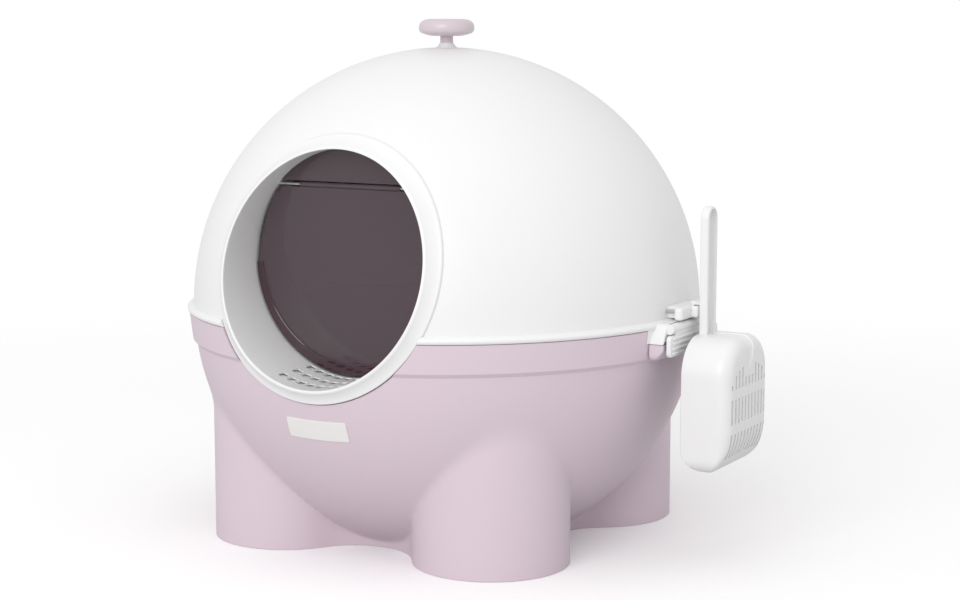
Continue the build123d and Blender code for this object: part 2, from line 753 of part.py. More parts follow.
def scoop_side_view(inset):
    """Side view of the scoop's bowl, or of its hollow when inset by the wall."""
    top = scoop_top - inset
    face = scoop_face - inset
    round_off = scoop_corner - inset
    with BuildSketch(Plane.XZ) as view:
        with BuildLine():
            Line((scoop_reach, top), (face - round_off, top))
            RadiusArc((face - round_off, top), (face, top - round_off), round_off)
            Line((face, top - round_off), (face, curve_top))
            radius = curve_radius - inset
            turn = asin(lip_drop / curve_radius)
            end = (curve_centre[0] + radius * cos(turn), curve_top - radius * sin(turn))
            CenterArc(curve_centre, radius, 0, -degrees(turn))
            if inset:
                low = (end[0] - 2 * scoop_lip * sin(turn), end[1] - 2 * scoop_lip * cos(turn))
                Polyline(end, low, (scoop_reach, low[1]), (scoop_reach, top))
            else:
                edge = (end[0] - scoop_lip, scoop_bottom)
                mouth = (scoop_reach, scoop_bottom + scoop_mouth_rise)
                Line(end, edge)
                Spline(edge, mouth, tangents=((-1, 0), (0, 1)))
                Line(mouth, (scoop_reach, top))
        make_face()
    return view.sketch


def scoop_bowl(inset):
    """Solid with the scoop's side, front and top views."""
    half = scoop_width / 2 - inset
    with BuildPart() as bowl:
        extrude(scoop_side_view(inset), amount=scoop_width / 2, both=True)
        low = scoop_bottom - scoop_wall + inset
        with BuildSketch(Plane.YZ.offset(scoop_reach)) as front_view:
            with Locations((0, (scoop_top - inset + low) / 2)):
                Rectangle(2 * half, scoop_top - inset - low)
            fillet(front_view.vertices().group_by(Axis.Y)[-1], scoop_shoulder - inset)
            fillet(front_view.vertices().group_by(Axis.Y)[0], scoop_corner - inset)
        extrude(amount=scoop_depth, mode=Mode.INTERSECT)
        with BuildSketch(Plane.XY) as top_view:
            with Locations((scoop_face - inset - scoop_depth, 0)):
                Rectangle(2 * scoop_depth, 2 * half)
            fillet(top_view.vertices().group_by(Axis.X)[-1], scoop_corner - inset)
        extrude(amount=far, mode=Mode.INTERSECT)
    return bowl.part


handle_face = scoop_reach + handle_thickness
handle_foot = scoop_top - scoop_wall - 1
groove_tip = scoop_top - groove_drop
hook_top = holder_top + hook_rise + hook_thickness
hook_reach = holder_nose - hook_set_back

with BuildPart() as scoop:
    add(scoop_bowl(0))
    # shallow groove that runs from the handle over the top to a point on the slotted face
    with BuildSketch(Plane.XY.offset(scoop_top - groove_depth)):
        with Locations(((handle_face + scoop_face) / 2, 0)):
            Rectangle(scoop_face - handle_face, handle_width - 2 * handle_rim)
    extrude(amount=2 * groove_depth, mode=Mode.SUBTRACT)
    with BuildSketch(Plane.YZ.offset(scoop_face - groove_depth)):
        with BuildLine():
            Polyline(
                (-handle_width / 2 + handle_rim, scoop_top + 1),
                (-handle_width / 2 + handle_rim, scoop_top - scoop_corner),
                (0, groove_tip),
                (handle_width / 2 - handle_rim, scoop_top - scoop_corner),
                (handle_width / 2 - handle_rim, scoop_top + 1),
                close=True,
            )
        make_face()
    extrude(amount=2 * groove_depth, mode=Mode.SUBTRACT)
    # handle, hollow on its outer face
    with BuildSketch(Plane.YZ.offset(scoop_reach)):
        with Locations((0, (handle_foot + handle_top) / 2)):
            SlotOverall(handle_top - handle_foot, handle_width, rotation=90)
        with Locations((0, handle_foot + handle_width / 2)):
            Rectangle(handle_width, handle_width)
    extrude(amount=handle_thickness)
    with BuildSketch(Plane.YZ.offset(handle_face - handle_channel)):
        with Locations((0, (scoop_top + handle_top) / 2)):
            SlotOverall(
                handle_top - scoop_top - 2 * handle_rim, handle_width - 2 * handle_rim, rotation=90
            )
    extrude(amount=2 * handle_channel, mode=Mode.SUBTRACT)
    add(scoop_bowl(scoop_wall), mode=Mode.SUBTRACT)
    # slots
    for column in range(slot_columns):
        across = slot_pitch * (column - (slot_columns - 1) / 2)
        share = abs(across) / (scoop_width / 2)
        for row in range(slot_rows):
            high = scoop_top - slot_drop - row * slot_row_pitch
            low = high - slot_length
            if row == 0:
                # the first row is arched, and its middle stops short of the groove's point
                arch = slot_arch * sqrt(1 - (across / slot_arch_half) ** 2)
                high = groove_tip - slot_bridge if share < slot_middle else low + arch
            with Locations((scoop_face, across, (low + high) / 2)):
                Box(scoop_depth, slot_width, high - low, mode=Mode.SUBTRACT)
    # hook on the back of the handle
    with BuildSketch(Plane.XZ.offset(-hook_width / 2)):
        with BuildLine():
            Polyline(
                (scoop_reach + 1, hook_top),
                (hook_reach - hook_thickness, hook_top),
                (hook_reach - hook_thickness, hook_top - hook_length),
                (hook_reach, hook_top - hook_length),
                (hook_reach, hook_top - hook_thickness),
                (scoop_reach + 1, hook_top - hook_thickness),
                close=True,
            )
        make_face()
    extrude(amount=hook_width)
save(scoop, "scoop")

# ---- scoop holder --------------------------------------------------------------------------

pocket_outer = hook_reach + holder_gap
pocket_inner = pocket_outer - holder_pocket
holder_depth = holder_reach - ball_radius + holder_root

with BuildPart() as scoop_holder:
    with BuildSketch(Plane.XY.offset(holder_bottom)):
        with Locations((holder_reach - holder_depth / 2, 0)):
            RectangleRounded(holder_depth, 2 * holder_half, holder_corner)
        with Locations(((holder_nose + ball_radius) / 2, 0)):
            RectangleRounded(holder_nose - ball_radius, 2 * holder_nose_half, holder_nose_corner)
    extrude(amount=holder_height)
    add(ball(ball_radius + face_gap), mode=Mode.SUBTRACT)
    with BuildSketch(Plane.XY.offset(holder_bottom + pocket_floor)):
        with Locations(((pocket_inner + pocket_outer) / 2, 0)):
            Rectangle(holder_pocket, hook_width + 2 * holder_gap)
    extrude(amount=holder_height, mode=Mode.SUBTRACT)
    add(screw_holes(holder_screw_places, holder_screw_grip), mode=Mode.SUBTRACT)
save(scoop_holder, "scoop_holder")
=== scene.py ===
"""Looks of a ball-shaped cat litter box: moulded shells, a smoked flap, side latches, a knob and a hanging scoop.

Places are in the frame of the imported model: +Z up, the origin in the middle of the flat bottom, the entry on -Y and the
scoop on +X. Sizes are millimetres and become metres only where a mesh is written.
"""

import logging
import math
from dataclasses import dataclass
from enum import Enum

import bmesh
import bpy
import numpy as np
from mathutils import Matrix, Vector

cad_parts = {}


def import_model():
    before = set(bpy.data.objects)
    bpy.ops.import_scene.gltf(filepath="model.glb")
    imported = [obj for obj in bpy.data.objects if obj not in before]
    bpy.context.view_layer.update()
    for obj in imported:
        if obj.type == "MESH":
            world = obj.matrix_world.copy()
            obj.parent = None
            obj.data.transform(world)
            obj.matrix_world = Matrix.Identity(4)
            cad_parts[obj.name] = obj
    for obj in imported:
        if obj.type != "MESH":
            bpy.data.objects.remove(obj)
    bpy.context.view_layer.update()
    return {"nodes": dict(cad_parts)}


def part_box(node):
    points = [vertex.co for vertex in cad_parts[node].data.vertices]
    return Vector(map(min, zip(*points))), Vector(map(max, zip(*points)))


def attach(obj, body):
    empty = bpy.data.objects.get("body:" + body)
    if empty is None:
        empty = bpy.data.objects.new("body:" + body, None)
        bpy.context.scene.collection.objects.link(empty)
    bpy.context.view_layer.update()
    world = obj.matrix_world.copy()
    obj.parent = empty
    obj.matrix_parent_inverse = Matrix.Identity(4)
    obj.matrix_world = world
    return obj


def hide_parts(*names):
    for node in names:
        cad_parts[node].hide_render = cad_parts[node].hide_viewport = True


MM = 0.001
FAR = 320.0  # past the ball on every side
log = logging.getLogger("litter_box")
Value = float | np.ndarray
Pair = tuple[float, float]
Piece = bpy.types.Object
Material = bpy.types.Material
Socket = bpy.types.NodeSocket

class Side(Enum):
    """The two sides that carry a latch; the value is the sign of X."""

    LEFT = -1
    RIGHT = 1


class Join(Enum):
    """How one solid is combined with another."""

    ADD = "UNION"
    CUT = "DIFFERENCE"


# ---- curves and grids ----------------------------------------------------------------------


def xyz(x: Value, y: Value, z: Value) -> np.ndarray:
    """Points from their three coordinates, each stretched to the same shape."""
    return np.stack(np.broadcast_arrays(x, y, z), axis=-1)


def circle(count: int) -> np.ndarray:
    """Evenly spaced angles of a full turn, in radians, without the last one."""
    return np.linspace(0.0, 2.0 * np.pi, count, endpoint=False)


def arc(centre: Pair, radius: float, start: float, end: float, count: int) -> np.ndarray:
    """Points of a round stretch.

    Args:
        centre: Middle of the arc.
        radius: Its radius.
        start: First angle in degrees.
        end: Last angle in degrees.
        count: Number of points.

    Returns:
        Points as centre + radius * (cos, sin), count x 2.
    """
    turn = np.radians(np.linspace(start, end, count))
    return np.stack([centre[0] + radius * np.cos(turn), centre[1] + radius * np.sin(turn)], axis=1)


def evenly(path: np.ndarray, count: int, closed: bool = False) -> np.ndarray:
    """The same path with points at equal distances along it.

    Args:
        path: Points, n x 2.
        count: Number of points wanted.
        closed: Whether the path returns to its first point.

    Returns:
        Points, count x 2, by linear interpolation over the path's length.
    """
    if closed:
        path = np.concatenate([path, path[:1]])
    length = np.concatenate([[0.0], np.cumsum(np.linalg.norm(np.diff(path, axis=0), axis=1))])
    places = np.linspace(0.0, length[-1], count, endpoint=not closed)
    return np.stack([np.interp(places, length, path[:, k]) for k in range(2)], axis=1)


def smooth_path(points: list[Pair], per_span: int) -> np.ndarray:
    """Curve through a few points.

    Args:
        points: Points that the curve passes through.
        per_span: Number of steps between two of them.

    Returns:
        Points of the Catmull-Rom cubic, whose slope at a point is half the step between its two neighbours.
    """
    p = np.asarray(points, float)
    p = np.concatenate([2 * p[:1] - p[1:2], p, 2 * p[-1:] - p[-2:-1]])
    t = np.linspace(0.0, 1.0, per_span, endpoint=False)[None, :, None]
    a, b, c, d = (p[k : len(p) - 3 + k, None, :] for k in range(4))
    spans = b + 0.5 * t * (c - a) + t**2 * (a - 2.5 * b + 2 * c - 0.5 * d) + 0.5 * t**3 * (3 * (b - c) + d - a)
    return np.concatenate([spans.reshape(-1, 2), p[-2:-1]])


def rounded_rectangle(low: Pair, high: Pair, radii: tuple[float, ...], steps: int) -> np.ndarray:
    """Outline of a rectangle with round corners, anticlockwise from its lower right corner.

    Args:
        low: Lowest corner.
        high: Highest corner.
        radii: Radius of the lower right, upper right, upper left and lower left corner, or one for all.
        steps: Points in each corner.

    Returns:
        Points, 4 * steps x 2.
    """
    radii = radii * 4 if len(radii) == 1 else radii
    corners = ((high[0], low[1]), (high[0], high[1]), (low[0], high[1]), (low[0], low[1]))
    inward = ((-1, 1), (-1, -1), (1, -1), (1, 1))
    stretches = [
        arc((corner[0] + way[0] * r, corner[1] + way[1] * r), r, 90 * k - 90, 90 * k, steps)
        for k, (corner, way, r) in enumerate(zip(corners, inward, radii))
    ]
    return np.concatenate(stretches)


def even_rectangle(low: Pair, high: Pair, radii: tuple[float, ...], steps: int, count: int) -> np.ndarray:
    """A rounded rectangle as count points at equal distances."""
    return evenly(rounded_rectangle(low, high, radii, steps), count, closed=True)


def at_depth(outline: np.ndarray, depth: float) -> np.ndarray:
    """Points (across, up, depth) of an outline."""
    return xyz(outline[:, 0], outline[:, 1], depth)


def inset(outline: np.ndarray, distance: Value) -> np.ndarray:
    """An anticlockwise closed outline moved inwards along its normals.

    Args:
        outline: Points, n x 2.
        distance: How far, for all points or for each.

    Returns:
        Points, n x 2, each moved against the normal of the step between its neighbours.
    """
    along = np.roll(outline, -1, axis=0) - np.roll(outline, 1, axis=0)
    along /= np.linalg.norm(along, axis=1, keepdims=True)
    inwards = np.stack([-along[:, 1], along[:, 0]], axis=1)
    return outline + inwards * np.broadcast_to(distance, len(outline))[:, None]


def smooth_step(value: np.ndarray, low: float, high: float) -> np.ndarray:
    """0 below low, 1 above high and the cubic 3t^2 - 2t^3 between them."""
    t = np.clip((value - low) / (high - low), 0.0, 1.0)
    return t * t * (3.0 - 2.0 * t)


def smooth_max(a: np.ndarray, b: np.ndarray, blend: float) -> np.ndarray:
    """The larger of two fields, plus a fillet h^2 * blend / 4 where h = 1 - |a - b| / blend is positive."""
    h = np.clip(1.0 - np.abs(a - b) / blend, 0.0, None)
    return np.maximum(a, b) + h * h * blend / 4.0


def slab(
    outline: np.ndarray, low: float, high: float, front_edge: float, back_edge: float = 0.3, rings: int = 3
) -> np.ndarray:
    """Plate with rounded edges, as rows of rings from the middle of its back to the middle of its front.

    Args:
        outline: Closed outline about the plate's middle, n x 2.
        low: Depth of the back face.
        high: Depth of the front face.
        front_edge: Radius of the front edge.
        back_edge: Radius of the back edge.
        rings: Rings on each flat face.

    Returns:
        Grid rows x n x 3 of (across, up, depth). An edge ring at angle a is drawn in by r(1 - sin a) and stands
        r(1 - cos a) above the face.
    """
    middle = outline.mean(axis=0)
    rows = []
    for face, radius, way in ((low, back_edge, 1), (high, front_edge, -1)):
        flat = inset(outline, radius)
        side = [at_depth(middle + (flat - middle) * share, face) for share in np.linspace(0, 1, rings + 1)[:-1]]
        for turn in np.linspace(0.0, np.pi / 2, 5):
            ring = inset(outline, radius * (1 - np.sin(turn)))
            side.append(at_depth(ring, face + way * radius * (1 - np.cos(turn))))
        rows += side if way > 0 else side[::-1]
    return np.stack(rows)


# ---- solids --------------------------------------------------------------------------------


def mesh_object(name: str, points: np.ndarray, faces: list) -> Piece:
    """A new object, with its doubles merged and its faces pointing outwards.

    Args:
        name: Name of the object.
        points: Points in millimetres, n x 3.
        faces: Point numbers of each face.

    Returns:
        The object, linked to the scene.
    """
    mesh = bpy.data.meshes.new(name)
    mesh.from_pydata((points * MM).tolist(), [], faces)
    work = bmesh.new()
    work.from_mesh(mesh)
    bmesh.ops.remove_doubles(work, verts=work.verts, dist=2e-7)
    bmesh.ops.recalc_face_normals(work, faces=work.faces)
    work.to_mesh(mesh)
    work.free()
    piece = bpy.data.objects.new(name, mesh)
    bpy.context.scene.collection.objects.link(piece)
    return piece


def solid(name: str, grid: np.ndarray, closed: bool = False, caps: bool = False) -> Piece:
    """Closed solid from a grid whose columns go round it.

    Args:
        name: Name of the object.
        grid: Points, rows x columns x 3. Without closed or caps, the first and the last row are each one point.
        closed: Whether the last row joins the first, as on a ring.
        caps: Whether the first and the last row get a flat cap each.

    Returns:
        The object.
    """
    rows, columns = grid.shape[:2]
    i, j = np.meshgrid(np.arange(rows if closed else rows - 1), np.arange(columns), indexing="ij")
    i2, j2 = (i + 1) % rows, (j + 1) % columns
    quads = np.stack([i * columns + j, i * columns + j2, i2 * columns + j2, i2 * columns + j], axis=-1)
    faces = quads.reshape(-1, 4).tolist()
    if caps:
        faces.append(list(range(columns))[::-1])
        faces.append(list(range((rows - 1) * columns, rows * columns)))
    return mesh_object(name, grid.reshape(-1, 3), faces)


def prisms(name: str, sections: np.ndarray) -> Piece:
    """Several prisms in one object.

    Args:
        name: Name of the object.
        sections: Points, prisms x 2 x n x 3: both ends of each.

    Returns:
        The object, in which each prism is closed by two caps.
    """
    count, _, n, _ = sections.shape
    j = np.arange(n)
    sides = np.stack([j, (j + 1) % n, n + (j + 1) % n, n + j], axis=-1)
    start = 2 * n * np.arange(count)
    faces = (sides[None] + start[:, None, None]).reshape(-1, 4).tolist()
    faces += (j[::-1][None] + start[:, None]).tolist() + (n + j[None] + start[:, None]).tolist()
    return mesh_object(name, sections.reshape(-1, 3), faces)


def along_y(name: str, section: np.ndarray, half: float) -> Piece:
    """Prism from a section of (x, z) that reaches to half on both sides of y = 0."""
    return prisms(name, np.stack([xyz(section[:, 0], y, section[:, 1]) for y in (-half, half)])[None])


def sideways(grid: np.ndarray, side: Side) -> np.ndarray:
    """A slab's (across, up, depth) turned so that its depth runs outwards on that side."""
    return xyz(side.value * grid[..., 2], grid[..., 0], grid[..., 1])


def curved_bar(name: str, section: np.ndarray, half: float, side: Side) -> Piece:
    """Ring sector on that side: a section of (radius, height) swept along Y as x = sqrt(radius^2 - y^2)."""
    y = np.linspace(-half, half, 29)[:, None]
    return solid(name, xyz(side.value * np.sqrt(section[:, 0] ** 2 - y**2), y, section[:, 1]), caps=True)


def combine(piece: Piece, how: Join, *tools: Piece) -> Piece:
    """Adds or cuts solids, then removes the tools.

    Args:
        piece: The solid that is changed.
        how: The way it is combined.
        tools: The other solids.

    Returns:
        The piece.
    """
    for tool in tools:
        step = piece.modifiers.new(how.name, "BOOLEAN")
        step.operation = how.value
        step.solver = "MANIFOLD"
        step.object = tool
    done = bpy.data.meshes.new_from_object(piece.evaluated_get(bpy.context.evaluated_depsgraph_get()))
    before = len(piece.data.vertices)
    piece.modifiers.clear()
    piece.data = done
    for tool in tools:
        bpy.data.objects.remove(tool)
    log.info("%s: %s took it from %d to %d vertices", piece.name, how.name.lower(), before, len(done.vertices))
    return piece


def lathe(radius: np.ndarray, height: np.ndarray, count: int) -> np.ndarray:
    """Grid turned about the vertical axis: x = r cos a, y = r sin a, z = h, with a row for each r and h."""
    turn = circle(count)
    return xyz(radius * np.cos(turn), radius * np.sin(turn), height)


def rod_along_y(name: str, place: Pair, radius: float, half: float, edge: float = 0.0) -> Piece:
    """Rod along Y.

    Args:
        name: Name of the object.
        place: Its axis, as (x, z).
        radius: Its radius.
        half: Half its length.
        edge: Radius of its two rims, or zero for sharp ones.

    Returns:
        The object.
    """
    turn = circle(48)
    flat = radius - edge
    rims = [arc((flat, way * (half - edge)), edge, low, low + 60, 4) for way, low in ((-1, -60), (1, 0)) if edge]
    profile = np.concatenate([[(0.0, -half), (flat, -half)], *rims, [(flat, half), (0.0, half)]])
    r, y = profile[:, :1], profile[:, 1:]
    return solid(name, xyz(place[0] + r * np.cos(turn), y, place[1] + r * np.sin(turn)))


# ---- finishes ------------------------------------------------------------------------------


def linear(colour: str) -> tuple[float, float, float, float]:
    """Linear RGBA of an sRGB hex colour such as '#f0f0f0'."""
    parts = [int(colour[k : k + 2], 16) / 255 for k in (1, 3, 5)]
    return (*(c / 12.92 if c <= 0.04045 else ((c + 0.055) / 1.055) ** 2.4 for c in parts), 1.0)


def add_node(material: Material, kind: str, links: dict | None = None, **settings) -> bpy.types.Node:
    """Adds one node.

    Args:
        material: Material, or world, whose tree gets it.
        kind: Node type, such as 'ShaderNodeBump'.
        links: For each input name or index, the socket it comes from or its value.
        settings: Properties of the node.

    Returns:
        The node.
    """
    tree = material.node_tree
    node = tree.nodes.new(kind)
    for name, value in settings.items():
        setattr(node, name, value)
    for name, source in (links or {}).items():
        if isinstance(source, Socket):
            tree.links.new(source, node.inputs[name])
        else:
            node.inputs[name].default_value = source
    return node


def new_material(name: str) -> Material:
    """An empty node material."""
    material = bpy.data.materials.new(name)
    material.use_nodes = True
    material.node_tree.nodes.clear()
    return material


@dataclass(frozen=True)
class Surface:
    """What every finish has: a name, a colour and the patterns that its nodes are made of."""

    name: str
    colour: str

    def noise(self, m: Material, size: float, detail: float, place: Socket | None = None) -> Socket:
        """Adds noise.

        Args:
            m: The material.
            size: Size of its features in mm.
            detail: Octaves.
            place: Coordinates, which are Object coordinates if none are given.

        Returns:
            The socket of its value.
        """
        place = place or add_node(m, "ShaderNodeTexCoord").outputs["Object"]
        links = {"Vector": place, "Scale": 1 / (size * MM), "Detail": detail}
        return add_node(m, "ShaderNodeTexNoise", links).outputs[0]

    def gloss(self, m: Material, pattern: Socket, low: float, high: float) -> Socket:
        """Roughness that goes from low to high where noise goes from 0.3 to 0.7, which is most of its range."""
        return add_node(m, "ShaderNodeMapRange", {0: pattern, 1: 0.3, 2: 0.7, 3: low, 4: high}).outputs[0]

    def bump(self, m: Material, pattern: Socket, height: float, **links) -> Socket:
        """Normal of a pattern that stands this many mm high."""
        return add_node(m, "ShaderNodeBump", {"Height": pattern, "Distance": height * MM, **links}).outputs[0]

    def finish(self, m: Material, **links) -> Material:
        """Closes the tree with the shader.

        Args:
            m: The material.
            links: For each input, its socket or value; an underscore in its name stands for a space.

        Returns:
            The material.
        """
        named = {name.replace("_", " "): source for name, source in links.items()}
        shader = add_node(m, "ShaderNodeBsdfPrincipled", named)
        add_node(m, "ShaderNodeOutputMaterial", {"Surface": shader.outputs[0]})
        return m


@dataclass(frozen=True)
class MouldedPlastic(Surface):
    """Injection-moulded polypropylene or ABS.

    The steel of the mould leaves a fine even grain, thick walls sink by a few hundredths over some centimetres, and
    handling varies the gloss in soft patches. The eye gets a satin sheen with a gently wavering highlight.
    """

    shade: str
    roughness: float
    grain: float = 1.6  # mm; real grain is about 0.3, drawn coarser so that it shows
    grain_height: float = 0.006
    sink: float = 55.0  # mm between soft waves of the wall
    sink_height: float = 0.05
    ior: float = 1.49

    def build(self) -> Material:
        """The node material."""
        m = new_material(self.name)
        grain = self.noise(m, self.grain, 3.0)
        patches = self.noise(m, 2.2 * self.sink, 2.0)
        links = {0: patches, 6: linear(self.colour), 7: linear(self.shade)}
        sunk = self.bump(m, self.noise(m, self.sink, 1.0), self.sink_height, Strength=1.0)
        return self.finish(
            m,
            Base_Color=add_node(m, "ShaderNodeMix", links, data_type="RGBA").outputs[2],
            Roughness=self.gloss(m, grain, self.roughness - 0.03, self.roughness + 0.03),
            IOR=self.ior,
            Normal=self.bump(m, grain, self.grain_height, Strength=1.0, Normal=sunk),
        )


@dataclass(frozen=True)
class SmokedPlastic(Surface):
    """Smoked clear styrene, moulded and polished.

    The tint swallows most of the light and both faces stay glossy, so the eye sees a dim interior under clear
    reflections.
    """

    cover: float
    roughness: float = 0.06
    ior: float = 1.59
    flow: float = 30.0  # mm between the soft waves that the melt leaves
    flow_height: float = 0.03

    def build(self) -> Material:
        """The node material: part of the light passes straight through."""
        m = new_material(self.name)
        flow = self.noise(m, self.flow, 1.0)
        return self.finish(
            m,
            Base_Color=linear(self.colour),
            Roughness=self.gloss(m, flow, self.roughness, self.roughness + 0.04),
            IOR=self.ior,
            Alpha=self.cover,
            Normal=self.bump(m, flow, self.flow_height, Strength=1.0),
        )


@dataclass(frozen=True)
class StainlessSteel(Surface):
    """Drawn stainless steel: a grey metal with fine lines along the drawing direction, which stretch its highlight."""

    roughness: float = 0.32
    line: float = 0.4  # mm between drawing lines
    line_height: float = 0.01
    stretch: float = 0.05  # how much slower the lines change along X

    def build(self) -> Material:
        """The node material, with the lines along X."""
        m = new_material(self.name)
        place = add_node(m, "ShaderNodeTexCoord").outputs["Object"]
        drawn = add_node(m, "ShaderNodeMapping", {"Vector": place, "Scale": (self.stretch, 1.0, 1.0)})
        lines = self.noise(m, self.line, 2.0, drawn.outputs[0])
        return self.finish(
            m,
            Base_Color=linear(self.colour),
            Metallic=1.0,
            Roughness=self.gloss(m, lines, self.roughness - 0.06, self.roughness + 0.08),
            Normal=self.bump(m, lines, self.line_height, Strength=0.6),
        )


@dataclass
class Finishes:
    """The finishes of the litter box, each built once."""

    tub: Material
    hood: Material
    trim: Material
    knob: Material
    scoop: Material
    label: Material
    smoke: Material
    smoke_edge: Material
    steel: Material

    @classmethod
    def build(cls) -> "Finishes":
        """Builds each finish from its colours and roughness."""
        return cls(
            tub=MouldedPlastic("pink_polypropylene", "#decdd7", "#dbcad4", 0.45).build(),
            hood=MouldedPlastic("white_polypropylene", "#f0f0f0", "#ededed", 0.38).build(),
            trim=MouldedPlastic("white_abs", "#f1f1f1", "#ededed", 0.3, ior=1.54, sink_height=0.03).build(),
            knob=MouldedPlastic("pink_abs", "#d4c7ce", "#d0c2ca", 0.26, ior=1.54, sink_height=0.02).build(),
            scoop=MouldedPlastic("white_scoop_polypropylene", "#f0f0f0", "#ececec", 0.32, sink=28.0).build(),
            label=MouldedPlastic("white_label_styrene", "#f1efed", "#ebe9e7", 0.35, sink_height=0.0).build(),
            smoke=SmokedPlastic("smoked_styrene", "#5a4b52", 0.64).build(),
            # the flap's thick edge: real extra thickness, with a darker, nearly opaque tint that is painted shade of
            # the gap behind the flap
            smoke_edge=SmokedPlastic("smoked_styrene_thick_painted_shade", "#422b33", 0.95).build(),
            steel=StainlessSteel("drawn_steel", "#c9c9c8").build(),
        )


def dress(
    piece: Piece, material: Material, body: str, slot: str, *nodes: str, crease: float = 32.0
) -> None:
    """Gives a new piece its finish, its body and its slot, and puts it in the place of its nodes.

    Args:
        piece: The solid, in place.
        material: Its finish.
        body: Body that it rides on.
        slot: Name of a material slot; not used.
        nodes: Nodes that it stands for.
        crease: Degrees between two faces from which their edge looks sharp.
    """
    mesh = piece.data
    mesh.materials.clear()
    mesh.materials.append(material)
    mesh.polygons.foreach_set("use_smooth", np.ones(len(mesh.polygons), bool))
    mesh.set_sharp_from_angle(angle=math.radians(crease))
    even = piece.modifiers.new("even_normals", "WEIGHTED_NORMAL")
    even.keep_sharp = True
    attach(piece, body)
    if nodes:
        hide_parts(*nodes)
    log.info("%s: %d faces, rides on %s", piece.name, len(mesh.polygons), body)


# ---- ball ----------------------------------------------------------------------------------


@dataclass(frozen=True)
class Ball:
    """The ball and its tunnel, which the tub, the hood and the entry share."""

    radius: float = 239.0
    height: float = 215.0  # centre above the floor
    wall: float = 3.0
    seam: float = 210.5  # rim of the tub
    seam_gap: float = 0.3
    rim: float = 243.2
    lip_height: float = 6.5
    tunnel_rise: float = 52.5
    bore: float = 101.5
    tube: float = 104.0
    collar: float = 114.5
    collar_gap: float = 0.8  # between the collar and its seat in the tub
    pad_wall: float = 3.2  # of the tub behind the collar

    @property
    def tunnel(self) -> float:
        """Height of the tunnel axis."""
        return self.height + self.tunnel_rise

    def reach(self, radius: Value, height: Value) -> Value:
        """Distance from the vertical axis, at this height, to a sphere about the ball's centre."""
        return np.sqrt(radius**2 - (height - self.height) ** 2)

    def meridian(self, radius: float, low: float, high: float, count: int) -> np.ndarray:
        """Half section of such a sphere from one height to another, as (radius, height) at equal angles."""
        start, end = (math.degrees(math.asin((z - self.height) / radius)) for z in (low, high))
        return arc((0.0, self.height), radius, start, end, count)

    def round_tunnel(self, radii: np.ndarray, spheres: np.ndarray, depths: np.ndarray, count: int) -> np.ndarray:
        """Grid about the tunnel axis.

        Args:
            radii: Distance of each ring from the axis.
            spheres: Radius of the sphere about the ball's centre on which each ring lies, or nan.
            depths: y of the ring where it isn't on a sphere.
            count: Points in each ring.

        Returns:
            Points with x = r sin a, z = axis + r cos a, and y = -sqrt(S^2 - x^2 - (z - centre)^2) on a sphere S.
        """
        turn = circle(count)
        r, s = np.asarray(radii, float)[:, None], np.asarray(spheres, float)[:, None]
        x, z = r * np.sin(turn), self.tunnel + r * np.cos(turn)
        on_sphere = -np.sqrt(np.clip(s**2 - x**2 - (z - self.height) ** 2, 0.0, None))
        return xyz(x, np.where(np.isnan(s), np.asarray(depths, float)[:, None], on_sphere), z)

    def tunnel_rod(self, name: str, radius: float, front: float, back: float) -> Piece:
        """Solid rod along the tunnel axis, used as a cutter."""
        rings = self.round_tunnel([0.0, radius, radius, 0.0], [np.nan] * 4, [front, front, back, back], 180)
        return solid(name, rings)


# ---- tub -----------------------------------------------------------------------------------


